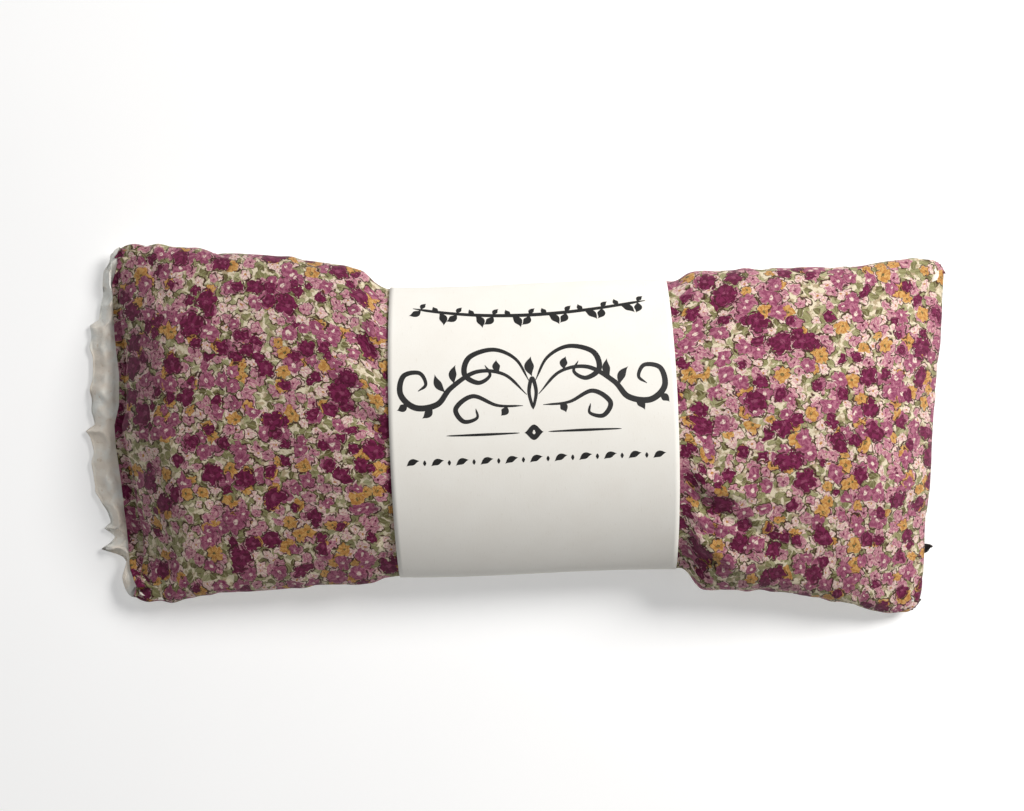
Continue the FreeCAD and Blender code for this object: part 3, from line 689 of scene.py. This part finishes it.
def make_buds(over, material):
    """Lavender buds among the seeds: ribbed, pointed husks lying every way on the fill."""
    random = np.random.default_rng(51)
    points, faces = [], []
    for _ in range(142):
        i, j = random.integers(12, over.shape[0] - 12), random.integers(12, over.shape[1] - 12)
        place = over[i, j] - (0, 0, 0.9 * MM)
        turn, tip = random.uniform(0, 2 * math.pi), random.normal(0, 0.2)
        way = np.array((math.cos(turn), math.sin(turn), tip))
        way /= np.linalg.norm(way)
        side = np.array((-math.sin(turn), math.cos(turn), 0))
        length, width = random.uniform(3.6, 5.0) * MM, random.uniform(0.75, 1.0) * MM
        rings = ((0, 0.3), (0.12, 0.6), (0.3, 0.92), (0.55, 1), (0.8, 0.82), (0.93, 0.62))
        middles = [place + way * (share - 0.5) * length for share, _ in rings]
        reaches = [[width * size * flute for flute in (0.82, 1) * 5] for _, size in rings]
        tube(points, faces, middles, way, side, reaches)
    obj = make_object("lavender_bud_husks", np.array(points), faces)
    return finish_soft(obj, "insert", material, ["lavender_buds"])


# ---------------------------------------------------------------- the paper band

def band_ring(columns, top, bottom, gap):
    """The band's loop round the waist: stations along it, points round from the far seam."""
    place = band_place((top[:, top.shape[1] // 2] + bottom[:, top.shape[1] // 2]) / 2)
    ring = np.concatenate([top[:, ::-1], bottom[:, 1:-1]], 1)
    stations = np.linspace(-BAND_HALF, BAND_HALF, columns + 1)
    index = np.interp(stations, place, np.arange(len(place)))
    low = np.clip(np.floor(index).astype(int), 0, len(place) - 2)
    part = (index - low)[:, None, None]
    ring = ring[low] * (1 - part) + ring[low + 1] * part
    along = np.gradient(ring, axis=0)
    around = np.roll(ring, -1, 1) - np.roll(ring, 1, 1)
    outward = np.cross(around, along)
    outward /= np.linalg.norm(outward, axis=-1, keepdims=True)
    ring = ring + outward * gap
    ring[..., 2] = np.maximum(ring[..., 2], 0.75 * MM)
    return ring, outward


def make_band(top, bottom, paper):
    """The card band: one strip wrapped round the waist and lapped underneath."""
    ring, outward = band_ring(60, top, bottom, BAND_GAP + PAPER)
    count = ring.shape[1]
    under = int(count * 0.75)
    order = [(under + k) % count for k in range(count + 8)]
    strip = ring[:, order].copy()
    facing = outward[:, order]
    lap = np.zeros(len(order))
    lap[-9:] = fade(np.arange(9) / 8, 0.3)
    strip = strip + facing * (lap[None, :, None] * (PAPER + 0.08 * MM))
    gone = np.cumsum(np.linalg.norm(np.diff(strip[30], axis=0), axis=1))
    gone = np.concatenate([[0], gone]) - gone[-1] / 2
    sway = 0.10 * MM * noise(gone[None], band_place(strip) * 0 + 1, 30 * MM, 61)
    strip = strip + facing * sway[..., None]
    strip[..., 2] = np.maximum(strip[..., 2], 0.27 * MM)
    inner = strip - facing * PAPER
    uv = np.stack([np.broadcast_to(band_place(strip), strip.shape[:2]),
                   np.broadcast_to(gone, strip.shape[:2])], -1).reshape(-1, 2)
    points, faces = shell(strip[:, ::-1], inner[:, ::-1])
    uv = uv.reshape(strip.shape[0], -1, 2)[:, ::-1].reshape(-1, 2)
    obj = make_object("belly_band_card", points, faces, np.concatenate([uv, uv]))
    finish_soft(obj, "band", paper, ["belly_band"])
    return strip, facing, gone


def make_glue(material):
    """The line of dried glue between the two layers of the band's lap."""
    low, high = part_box("band_glue_strip")
    points = [(x, y, z) for z in (low.z, high.z)
              for x, y in ((low.x, low.y), (high.x, low.y), (high.x, high.y), (low.x, high.y))]
    faces = [(3, 2, 1, 0), (4, 5, 6, 7), (0, 1, 5, 4), (1, 2, 6, 5), (2, 3, 7, 6), (3, 0, 4, 7)]
    obj = make_object("band_glue_layer", np.array(points), faces, smooth=False)
    finish_soft(obj, "band", material, ["band_glue_strip"])


class BandFace:
    """Places on the band's outside: along it, and round it from the middle of its top."""

    def __init__(self, strip, facing, gone):
        self.strip, self.facing = strip, facing
        self.stations = np.linspace(-BAND_HALF, BAND_HALF, len(strip))
        crown = np.argmax(strip[len(strip) // 2, :, 2])
        self.round = -(gone - gone[crown])
        if self.strip[0, crown + 3, 1] > self.strip[0, crown - 3, 1]:
            self.round = -self.round

    def at(self, along, across, lift):
        """Points of the face, raised a little."""
        order = np.argsort(self.round)
        i = np.interp(along, self.stations, np.arange(len(self.stations)))
        j = np.interp(across, self.round[order], np.arange(len(order)))
        strip, facing = self.strip[:, order], self.facing[:, order]
        return between(strip, i, j) + between(facing, i, j) * lift


def bowed(points, steps=50):
    """A smooth stroke through a few points, in millimetres."""
    points = np.asarray(points, float)
    before, after = 2 * points[:1] - points[1:2], 2 * points[-1:] - points[-2:-1]
    padded, out = np.concatenate([before, points, after]), []
    for t in np.linspace(0, len(points) - 1, steps):
        k = min(int(t), len(points) - 2)
        s = t - k
        a, b, c, d = padded[k : k + 4]
        out.append(0.5 * (2 * b + (c - a) * s + (2 * a - 5 * b + 4 * c - d) * s**2
                          + (3 * b - a - 3 * c + d) * s**3))
    return np.array(out)


class Ink:
    """Printed ornament on the band, as thin raised strokes."""

    def __init__(self, face):
        self.face = face
        self.points, self.faces = [], []

    def stroke(self, line, width, swell=0.0):
        """One pen stroke: its middle line and width in millimetres, fuller in its middle."""
        line = np.asarray(line, float)
        way = np.gradient(line, axis=0)
        way /= np.maximum(np.linalg.norm(way, axis=1, keepdims=True), 1e-9)
        side = np.stack([-way[:, 1], way[:, 0]], -1)
        share = np.linspace(0, 1, len(line))
        half = width * 0.64 * (1 - swell + swell * np.sin(math.pi * share) ** 1.5 * 1.6)
        half = half * np.minimum(1, 0.25 + np.minimum(share, 1 - share) * 14)
        base = len(self.points)
        left, right = line + side * half[:, None], line - side * half[:, None]
        for edge in (left, right):
            for lift in (0.035, 0.005):
                spots = self.face.at(edge[:, 0] * MM, edge[:, 1] * MM, lift * MM)
                self.points += [tuple(p) for p in spots]
        n = len(line)
        for k in range(n - 1):
            for a, b in ((0, 2), (2, 3), (3, 1), (1, 0)):
                p, q = base + a * n + k, base + b * n + k
                self.faces.append((p, q, q + 1, p + 1))
        self.faces.append((base, base + n, base + 3 * n, base + 2 * n))
        last = base + n - 1
        self.faces.append((last, last + 2 * n, last + 3 * n, last + n))

    def leaf(self, root, angle, length, width):
        """A pointed leaf from its root, its angle in degrees."""
        way = np.array((math.cos(math.radians(angle)), math.sin(math.radians(angle))))
        side = np.array((-way[1], way[0]))
        share = np.linspace(0, 1, 14)[:, None]
        line = np.asarray(root) + way * share * length + side * np.sin(share * 3) * 0.12 * length
        self.stroke(line, width * 0.46, 1.0)

    def finish(self, material):
        """The strokes as one piece that goes with the band."""
        obj = make_object("band_ornament", np.array(self.points), self.faces, smooth=False)
        return finish_soft(obj, "band", material)


def draw_ornament(ink):
    """A swag of leaves, a double scroll, a ruled lozenge and a row of leaves and dots."""
    share = np.linspace(-1, 1, 61)
    swag = np.stack([share * 30, 31.5 + 3.6 * share**2], -1)
    ink.stroke(swag, 0.8, 0.15)
    for k in range(13):
        t = -0.93 + 1.86 * k / 12
        root = (t * 30, 31.5 + 3.6 * t * t)
        lean = -90 + 34 * (1 if k % 2 else -1) + t * 26
        ink.leaf(root, lean, 4.6 if k % 2 else 3.7, 2.2)
        ink.leaf(root, lean + 180 - t * 30, 2.6, 1.5)
    for way in (1, -1):
        def mirror(line, way=way):
            return np.asarray(line, float) * (way, 1)

        ink.stroke(mirror(bowed([(1.5, 9), (7, 14.5), (14, 15.5), (20.5, 11.5), (24, 7.4),
                                 (29.5, 6.6), (33.2, 10), (32.4, 14.8), (28.4, 15.6),
                                 (26.8, 12.6), (28.8, 10.8)], 90)), 0.95, 0.45)
        ink.stroke(mirror(bowed([(0.8, 12.5), (4, 18.5), (9.5, 21.4), (15.6, 19.6), (17, 15.0),
                                 (13.6, 12.6), (10.6, 14.4), (11.8, 17.2)], 80)), 0.85, 0.5)
        ink.stroke(mirror(bowed([(2.5, 6.2), (9, 6.6), (15, 9.2), (19.4, 6.2), (17.6, 2.9),
                                 (14.2, 3.6), (14.4, 6.0)], 60)), 0.75, 0.5)
        for x, y, angle, length in ((8.2, 15.0, 80, 3.6), (21.8, 10.3, 62, 5.6),
                                    (25.4, 7.0, -50, 4.0), (19.6, 12.4, 95, 5.2),
                                    (6.6, 6.5, -58, 3.0), (31.6, 7.8, -35, 3.2)):
            ink.leaf((x * way, y), angle if way > 0 else 180 - angle, length, 2.1)
    ink.stroke(bowed([(0, 5.2), (0.9, 9.6), (0, 13.2), (-0.9, 9.6), (0, 5.2)], 40), 0.7, 0.2)
    ink.leaf((0, 13.6), 90, 5.4, 2.6)
    ink.stroke([(t, -0.6) for t in np.linspace(3.6, 22, 30)], 0.42, 0.4)
    ink.stroke([(t, -0.6) for t in np.linspace(-22, -3.6, 30)], 0.42, 0.4)
    ink.stroke([(t, -0.6) for t in np.linspace(-2.4, 2.4, 16)], 1.9, 1.0)
    for k in range(11):
        t = -31 + 6.2 * k
        ink.leaf((t - 1.3, -8.2), 22, 3.6, 1.7)
        if k < 10:
            ink.stroke([(t + s, -7.4) for s in np.linspace(2.9, 3.7, 8)], 0.8, 0.6)


def make_label(material):
    """The small woven ribbon end caught in the end seam, curling up at its free end."""
    low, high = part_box("side_label")
    root = low.x + 0.55 * MM
    rows, columns = 10, 26
    across = np.linspace(low.y, high.y, rows + 1)
    outer = np.zeros((columns + 1, rows + 1, 3))
    for i in range(columns + 1):
        share = i / columns
        rise = 1.1 * MM * share**2.2
        outer[i, :, 0] = root + (high.x - root) * 0.8 * math.sin(share * 1.6)
        middle, lean = (low.y + high.y) / 2, 1.25 * share
        outer[i, :, 1] = middle + (across - middle) * math.cos(lean) + 0.5 * MM * share
        outer[i, :, 2] = high.z + rise + (across - middle) * math.sin(lean) * share
    inner = outer - normals(outer) * 0.28 * MM
    y = np.broadcast_to(across, (columns + 1, rows + 1))
    uv = np.stack([outer[..., 0], y], -1).reshape(-1, 2)
    points, faces = shell(outer, inner)
    obj = make_object("side_label_ribbon", points, faces, np.concatenate([uv, uv]))
    return finish_soft(obj, "label", material, ["side_label"])


# ---------------------------------------------------------------- materials

def rgb(red, green, blue):
    """A display colour from 0 to 255 as the linear colour that a shader takes."""
    def linear(c):
        c /= 255
        return c / 12.92 if c <= 0.04045 else ((c + 0.055) / 1.055) ** 2.4
    return (linear(red), linear(green), linear(blue), 1.0)


class Graph:
    """A material's nodes, written as calls."""

    def __init__(self, name, rough, sheen=0.0, specular=0.5):
        self.material = bpy.data.materials.new(name)
        self.material.use_nodes = True
        self.tree = self.material.node_tree
        self.shader = self.tree.nodes["Principled BSDF"]
        self.shader.inputs["Roughness"].default_value = rough
        self.shader.inputs["Sheen Weight"].default_value = sheen
        self.shader.inputs["Sheen Roughness"].default_value = 0.5
        self.shader.inputs["Specular IOR Level"].default_value = specular

    def put(self, socket, value):
        """Links an output to a socket, or sets the socket's own number, vector or colour."""
        if isinstance(value, bpy.types.NodeSocket):
            self.tree.links.new(value, socket)
        else:
            socket.default_value = value

    def node(self, kind, **settings):
        """A new node, with its own settings."""
        made = self.tree.nodes.new(kind)
        for key, value in settings.items():
            setattr(made, key, value)
        return made

    def math(self, operation, *values, clamp=False):
        made = self.node("ShaderNodeMath", operation=operation, use_clamp=clamp)
        for socket, value in zip(made.inputs, values):
            self.put(socket, value)
        return made.outputs[0]

    def times(self, first, second):
        """One value times another."""
        return self.math("MULTIPLY", first, second)

    def plus(self, first, second):
        """One value plus another."""
        return self.math("ADD", first, second)

    def vector(self, operation, *values):
        made = self.node("ShaderNodeVectorMath", operation=operation)
        for socket, value in zip(made.inputs, values):
            self.put(socket, value)
        return made.outputs["Value" if operation in ("LENGTH", "DISTANCE") else "Vector"]

    def step(self, value, low, high):
        """0 below low and 1 above high, smooth between."""
        made = self.node("ShaderNodeMapRange", interpolation_type="SMOOTHSTEP")
        self.put(made.inputs["Value"], value)
        self.put(made.inputs["From Min"], low)
        self.put(made.inputs["From Max"], high)
        return made.outputs["Result"]

    def mix(self, share, first, second, blend="MIX"):
        made = self.node("ShaderNodeMix", data_type="RGBA", blend_type=blend)
        self.put(made.inputs[0], share)
        self.put(made.inputs[6], first)
        self.put(made.inputs[7], second)
        return made.outputs[2]

    def noise(self, place, size, detail=2.0, rough=0.5):
        made = self.node("ShaderNodeTexNoise")
        self.put(made.inputs["Vector"], place)
        self.put(made.inputs["Scale"], 1 / size)
        self.put(made.inputs["Detail"], detail)
        self.put(made.inputs["Roughness"], rough)
        return made.outputs["Fac"]

    def parts(self, value, kind="ShaderNodeSeparateXYZ"):
        """The three parts of a vector or a colour."""
        made = self.node(kind)
        self.put(made.inputs[0], value)
        return made.outputs

    def cells(self, place, cell, jitter):
        """Cells strewn over a cloth: three random shares a cell, and the way from its middle."""
        made = self.node("ShaderNodeTexVoronoi", voronoi_dimensions="2D", feature="F1")
        self.put(made.inputs["Vector"], place)
        made.inputs["Scale"].default_value = 1 / cell
        made.inputs["Randomness"].default_value = jitter
        arm = self.vector("SUBTRACT", place, made.outputs["Position"])
        return self.parts(made.outputs["Color"], "ShaderNodeSeparateColor"), arm

    def place(self, uv=True):
        """Where on the piece: its flat cut where it has one, or its own coordinates."""
        if uv:
            return self.node("ShaderNodeUVMap", uv_map="cut").outputs["UV"]
        return self.node("ShaderNodeTexCoord").outputs["Object"]

    def bump(self, height, depth, strength=1.0):
        made = self.node("ShaderNodeBump")
        made.inputs["Strength"].default_value = strength
        made.inputs["Distance"].default_value = depth
        self.put(made.inputs["Height"], height)
        self.tree.links.new(made.outputs["Normal"], self.shader.inputs["Normal"])

    def weave(self, place, pitch):
        """A plain weave's height, from 0 to 1, with threads of uneven thickness."""
        wander = self.times(self.noise(place, pitch * 9, 1.0), 4.0)
        warp, weft = (self.math("SINE", self.math("MULTIPLY_ADD", part, math.pi / pitch, wander))
                      for part in self.parts(place)[:2])
        return self.math("MULTIPLY_ADD", self.times(warp, weft), 0.5, 0.5)

    def colour(self, value):
        self.put(self.shader.inputs["Base Color"], value)


OUTLINE = rgb(58, 20, 20)


def flowers(graph, place, below, cell, size, shift, petals, keep, tones, centre, seam):
    """Lays one kind of printed flower over what is below it: a random one in each cell."""
    moved = graph.vector("ADD", place, (shift, shift * 0.7, 0))
    (first, second, third), arm = graph.cells(moved, cell, 0.95)
    right, up, _ = graph.parts(arm)
    reach = graph.vector("LENGTH", arm)
    angle = graph.math("ARCTAN2", up, right)
    angle = graph.math("MULTIPLY_ADD", first, 6.28, angle)
    squeeze = graph.math("MULTIPLY_ADD", graph.math("COSINE", graph.math(
        "MULTIPLY_ADD", second, 9.0, angle)), 0.20, 1.0)
    scale = graph.times(graph.math("MULTIPLY_ADD", second, 0.6, 0.62), squeeze)
    radius = graph.math("DIVIDE", graph.math("DIVIDE", reach, size / 2), scale)
    petal = graph.math("ABSOLUTE", graph.math("COSINE", graph.times(angle, petals / 2)))
    edge = graph.math("MULTIPLY_ADD", graph.math("POWER", petal, 0.6), 0.30, 0.66)
    ragged = graph.noise(moved, 0.75 * MM, 2.0, 0.6)
    gap = graph.math("SUBTRACT", radius, graph.plus(edge, graph.math(
        "MULTIPLY_ADD", ragged, 0.3, -0.15)))
    edge = graph.plus(edge, graph.math("MULTIPLY_ADD", ragged, 0.95, -0.475))
    depth = graph.math("SUBTRACT", edge, radius)
    there = graph.math("LESS_THAN", third, keep)
    soft = 0.10 * MM / size
    mask = graph.times(graph.step(depth, -soft, soft), there)
    dapple = graph.step(graph.noise(moved, size * 0.20, 3.0, 0.6), 0.44, 0.58)
    colour = graph.mix(dapple, tones[0], tones[1])
    brush = graph.noise(moved, 0.5 * MM, 2.0)
    streak = graph.times(graph.step(petal, 0.46, 0.10), graph.step(radius, 0.9, 0.4))
    streak = graph.times(streak, graph.step(brush, 0.36, 0.56))
    colour = graph.mix(graph.times(streak, 0.9), colour, seam)
    dot = graph.times(graph.step(radius, 0.26, 0.14), graph.step(brush, 0.38, 0.5))
    colour = graph.mix(dot, colour, centre)
    rim = 0.47 * MM / size
    line = graph.times(graph.step(gap, rim * 0.1, rim * 0.7),
                      graph.step(gap, rim * 2.3, rim * 1.6))
    broken = graph.step(graph.noise(moved, 1.9 * MM, 1.0), 0.40, 0.45)
    line = graph.times(graph.times(line, broken), there)
    colour = graph.mix(mask, below, colour)
    return graph.mix(graph.times(line, 0.92), colour, OUTLINE)


def leaves(graph, place, below, cell, size, shift, tones):
    """Small leaves of the print, one in each cell, lying every way."""
    moved = graph.vector("ADD", place, (shift, -shift, 0))
    random, arm = graph.cells(moved, cell, 0.9)
    turn = graph.node("ShaderNodeVectorRotate", rotation_type="Z_AXIS")
    graph.put(turn.inputs["Vector"], arm)
    graph.put(turn.inputs["Angle"], graph.times(random[0], 6.28))
    right, up, _ = graph.parts(turn.outputs[0])
    along = graph.math("DIVIDE", right, size / 2)
    width = graph.math("SUBTRACT", 0.55, graph.times(along, along))
    uneven = graph.math("MULTIPLY_ADD", graph.noise(moved, size * 0.2), 0.4, -0.2)
    width = graph.plus(width, uneven)
    across = graph.math("DIVIDE", graph.math("ABSOLUTE", up), size / 2)
    depth = graph.math("SUBTRACT", width, across)
    mask = graph.step(depth, 0.0, 0.06)
    colour = graph.mix(random[1], tones[0], tones[1])
    vein = graph.step(across, 0.09, 0.03)
    colour = graph.mix(graph.times(vein, 0.45), colour, tones[2])
    colour = graph.mix(mask, below, colour)
    line = graph.times(graph.step(depth, -0.12, -0.03), graph.step(depth, 0.1, 0.03))
    broken = graph.step(graph.noise(moved, size * 0.5, 1.0), 0.5, 0.58)
    return graph.mix(graph.times(graph.times(line, broken), 0.7), colour,
                     OUTLINE)


PLUM, DEEP = rgb(84, 6, 44), rgb(114, 28, 70)
MAUVE, ROSE = rgb(134, 64, 92), rgb(166, 102, 122)
PINK, BLUSH = rgb(196, 152, 154), rgb(222, 202, 188)
OCHRE, GOLD = rgb(172, 120, 58), rgb(198, 154, 90)
SAGE, MOSS, REED = rgb(134, 130, 88), rgb(92, 84, 48), rgb(168, 164, 126)
GROUND, SHADE = rgb(214, 202, 176), rgb(168, 150, 120)


def floral_cotton():
    """A dense small-flowered print on cream, on a fine plain weave."""
    graph = Graph("floral_cotton_print", 0.86, sheen=0.08, specular=0.25)
    place = graph.place()
    drift = graph.node("ShaderNodeCombineXYZ")
    graph.put(drift.inputs[0], graph.times(graph.noise(place, 3.2 * MM), 2.4 * MM))
    graph.put(drift.inputs[1], graph.times(graph.noise(place, 2.7 * MM), 2.4 * MM))
    bend = graph.vector("ADD", place, drift.outputs[0])
    ground = graph.noise(place, 1.6 * MM, 3.0, 0.6)
    colour = graph.mix(graph.step(ground, 0.45, 0.6), GROUND, SHADE)
    colour = leaves(graph, bend, colour, 2.3 * MM, 3.0 * MM, 0.31, (SAGE, REED, MOSS))
    colour = leaves(graph, bend, colour, 3.1 * MM, 3.2 * MM, 0.57, (MOSS, SAGE, REED))
    colour = flowers(graph, bend, colour, 2.9 * MM, 2.9 * MM, 0.13, 5, 0.62,
                     (BLUSH, PINK), OCHRE, ROSE)
    colour = flowers(graph, bend, colour, 3.5 * MM, 3.6 * MM, 0.41, 5, 0.50,
                     (ROSE, PINK), PLUM, MAUVE)
    colour = flowers(graph, bend, colour, 4.6 * MM, 4.3 * MM, 0.73, 6, 0.34,
                     (GOLD, OCHRE), MOSS, rgb(150, 84, 36))
    colour = flowers(graph, bend, colour, 4.3 * MM, 4.7 * MM, 0.97, 5, 0.40,
                     (MAUVE, ROSE), BLUSH, DEEP)
    colour = flowers(graph, bend, colour, 3.8 * MM, 3.4 * MM, 1.47, 4, 0.15,
                     (PLUM, DEEP), MAUVE, rgb(76, 6, 44))
    colour = flowers(graph, bend, colour, 7.6 * MM, 5.6 * MM, 1.21, 5, 0.42,
                     (PLUM, DEEP), MAUVE, DEEP)
    thread = graph.weave(place, 0.32 * MM)
    # Painted shade: the print is multiplied a little darker where the weave's bump height is low,
    # between its threads.
    colour = graph.mix(0.16, colour, graph.mix(thread, rgb(120, 108, 100), rgb(255, 252, 246)),
                       "MULTIPLY")
    graph.colour(colour)
    graph.bump(thread, 0.05 * MM, 0.5)
    return graph.material


def plush_pile():
    """Matted cream fleece: soft, with a fine curl whose hollows are darkened as painted shade."""
    graph = Graph("cream_plush_pile", 0.95, sheen=0.6, specular=0.1)
    place = graph.place(uv=False)
    lump, curl = graph.noise(place, 7 * MM, 3.0), graph.noise(place, 1.6 * MM, 4.0, 0.6)
    colour = graph.mix(graph.step(lump, 0.35, 0.65), rgb(244, 233, 218), rgb(250, 250, 243))
    # Painted shade: darker where the curl's bump height is low, in its hollows.
    colour = graph.mix(graph.step(curl, 0.42, 0.25), colour, rgb(227, 212, 193))
    graph.colour(colour)
    fine = graph.noise(place, 0.4 * MM, 3.0, 0.7)
    graph.bump(graph.math("MULTIPLY_ADD", fine, 0.3, curl), 0.35 * MM, 0.7)
    return graph.material


def woven(name, warm, cool, fleck, pitch, rough=0.85, uv=True, depth=0.08 * MM):
    """A plain-woven cloth of one colour, with slubs and flecks."""
    graph = Graph(name, rough, sheen=0.15, specular=0.25)
    place = graph.place(uv)
    thread = graph.weave(place, pitch)
    colour = graph.mix(graph.noise(place, 5 * MM, 3.0), warm, cool)
    spot = graph.step(graph.noise(place, pitch * 1.8, 2.0), 0.66, 0.74)
    colour = graph.mix(graph.times(spot, 0.6), colour, fleck)
    colour = graph.mix(graph.times(thread, 0.25), colour, cool)
    graph.colour(colour)
    graph.bump(thread, depth, 0.7)
    return graph.material


def sewing_thread(name, light, dark):
    """Twisted thread: a fine slanting rib, painted lighter on its ridges and darker in its grooves
    as painted highlight and shade.
    """
    graph = Graph(name, 0.55, sheen=0.3)
    place = graph.place(uv=False)
    rib = graph.node("ShaderNodeTexWave", bands_direction="DIAGONAL")
    graph.put(rib.inputs["Vector"], place)
    rib.inputs["Scale"].default_value = 900
    rib.inputs["Distortion"].default_value = 1.5
    # Painted highlight and shade: the light tone lies on the rib's raised bands and the dark tone
    # in its grooves, matching the bump.
    graph.colour(graph.mix(rib.outputs["Fac"], dark, light))
    graph.bump(rib.outputs["Fac"], 0.04 * MM, 0.8)
    return graph.material


def card():
    """Uncoated cream-white card: faint fibres and a slight tooth."""
    graph = Graph("band_card_stock", 0.78, specular=0.3)
    place = graph.place()
    cloud = graph.noise(place, 9 * MM, 3.0)
    colour = graph.mix(cloud, rgb(238, 236, 230), rgb(231, 227, 219))
    stretch = graph.node("ShaderNodeMapping")
    stretch.inputs["Scale"].default_value = (1, 0.22, 1)
    graph.put(stretch.inputs["Vector"], place)
    fibre = graph.noise(stretch.outputs[0], 0.45 * MM, 3.0, 0.7)
    colour = graph.mix(graph.times(graph.step(fibre, 0.6, 0.72), 0.35), colour,
                       rgb(214, 207, 195))
    graph.colour(colour)
    graph.bump(graph.plus(fibre, graph.noise(place, 0.25 * MM)), 0.03 * MM, 0.5)
    return graph.material


def grainy(name, tones, size, rough, depth, uv=False):
    """Small speckled things: seeds, husks or ink."""
    graph = Graph(name, rough)
    place = graph.place(uv)
    cells = graph.node("ShaderNodeTexVoronoi")
    graph.put(cells.inputs["Vector"], place)
    cells.inputs["Scale"].default_value = 1 / size
    pick = graph.parts(cells.outputs["Color"], "ShaderNodeSeparateColor")[0]
    colour = graph.mix(pick, tones[0], tones[1])
    colour = graph.mix(graph.step(graph.noise(place, size * 0.4), 0.55, 0.7), colour, tones[2])
    graph.colour(colour)
    graph.bump(graph.math("SUBTRACT", 1.0, cells.outputs["Distance"]), depth, 0.8)
    return graph.material


def floor_paper():
    """The plain pale surface under the pillow."""
    graph = Graph("pale_floor", 0.9, specular=0.1)
    place = graph.place(uv=False)
    cloud = graph.noise(place, 60 * MM, 2.0)
    graph.colour(graph.mix(cloud, rgb(226, 226, 226), rgb(230, 230, 230)))
    graph.shader.inputs["Emission Color"].default_value = (1, 1, 1, 1)
    graph.shader.inputs["Emission Strength"].default_value = FLOOR_GLOW
    return graph.material


# ---------------------------------------------------------------- floor, light and camera

def make_floor():
    """A broad pale sheet, just under the pillow."""
    size, steps = 1.6, 32
    axis = np.linspace(-size, size, steps + 1)
    gx, gy = np.meshgrid(axis, axis, indexing="ij")
    points = np.stack([gx, gy, np.full_like(gx, -OFF_FLOOR)], -1)
    obj = make_object("floor_sheet", points, quads(steps, steps))
    obj.data.materials.append(floor_paper())


def add_light(name, place, aim, size, power, tint):
    """A round lamp aimed at a point."""
    lamp = bpy.data.lights.new(name, "AREA")
    lamp.shape, lamp.size, lamp.energy, lamp.color = "DISK", size, power, tint
    obj = bpy.data.objects.new(name, lamp)
    bpy.context.collection.objects.link(obj)
    obj.location = place
    obj.rotation_euler = (Vector(aim) - Vector(place)).to_track_quat("-Z", "Y").to_euler()


def light_and_camera():
    """Soft daylight from the upper right, and a camera straight above."""
    add_light("key", (0.50, 0.34, 0.52), (0.06, 0.01, 0), 0.34, 7.3, (1.0, 0.985, 0.965))
    add_light("fill", (-0.5, 0.35, 1.1), (0, 0, 0), 1.0, 1.75, (0.97, 0.985, 1.0))
    world = bpy.data.worlds.new("room")
    bpy.context.scene.world = world
    world.use_nodes = True
    world.node_tree.nodes["Background"].inputs["Color"].default_value = (1, 1, 1, 1)
    world.node_tree.nodes["Background"].inputs["Strength"].default_value = 0.20
    camera = bpy.data.cameras.new("camera")
    camera.lens, camera.sensor_width = 54.0, 36.0
    camera.clip_start, camera.clip_end = 0.01, 20
    obj = bpy.data.objects.new("camera", camera)
    bpy.context.collection.objects.link(obj)
    obj.location = (0.0005, 0.0063, 0.420)
    obj.rotation_euler = (0, 0, math.radians(1.0))
    bpy.context.scene.camera = obj
    bpy.context.scene.view_settings.view_transform = "Standard"


# ---------------------------------------------------------------- making it all

def main():
    """Builds every piece over the cover's settled shape, then the floor, light and camera."""
    grid_x, grid_v, top, bottom = filled_cover(*COVER_GRID)
    top, bottom = settle(grid_x, grid_v, top, bottom)
    for axis in (0, 1):
        top, bottom = double(top, axis), double(bottom, axis)
        grid_x = double(grid_x[..., None], axis)[..., 0]
        grid_v = double(grid_v[..., None], axis)[..., 0]
    base_top, base_bottom = top.copy(), bottom.copy()
    top = round_corners(top, grid_x, grid_v, CORNER_RADIUS)
    bottom = round_corners(bottom, grid_x, grid_v, CORNER_RADIUS)
    bottom[..., 2] = np.maximum(bottom[..., 2], OFF_FLOOR)
    print_cloth = floral_cotton()
    plum = sewing_thread("plum_sewing_thread", rgb(150, 70, 110), rgb(84, 22, 52))
    cream = sewing_thread("cream_sewing_thread", rgb(240, 232, 214), rgb(200, 188, 164))
    calico = woven("calico_weave", rgb(232, 221, 196), rgb(216, 202, 172), rgb(128, 100, 62),
                   0.5 * MM)
    make_cover_front(grid_x, grid_v, top, print_cloth)
    make_cover_back(grid_x, grid_v, bottom, plush_pile())
    make_facing(grid_x, grid_v, bottom, print_cloth)
    make_cover_stitches(grid_x, grid_v, top, bottom, plum)
    over = make_insert(grid_x, grid_v, top, bottom, calico,
                       grainy("flax_seeds", (rgb(122, 74, 40), rgb(92, 52, 28), rgb(150, 100, 60)),
                              1.6 * MM, 0.35, 0.5 * MM), cream)
    make_buds(over, grainy("lavender_husks", (rgb(122, 112, 140), rgb(88, 84, 100),
                                              rgb(128, 128, 96)), 0.7 * MM, 0.8, 0.12 * MM))
    strip, facing, gone = make_band(base_top, base_bottom, card())
    ink = Ink(BandFace(strip, facing, gone))
    draw_ornament(ink)
    ink.finish(grainy("printed_black", (rgb(12, 12, 12), rgb(16, 15, 15), rgb(24, 22, 22)),
                      0.5 * MM, 0.6, 0.005 * MM))
    make_glue(grainy("dried_glue", (rgb(226, 218, 190), rgb(214, 204, 172), rgb(236, 230, 210)),
                     0.9 * MM, 0.4, 0.05 * MM))
    make_label(woven("black_ribbon", rgb(26, 24, 26), rgb(46, 44, 46), rgb(62, 60, 60),
                     0.22 * MM, 0.5, depth=0.04 * MM))
    make_floor()
    light_and_camera()


main()
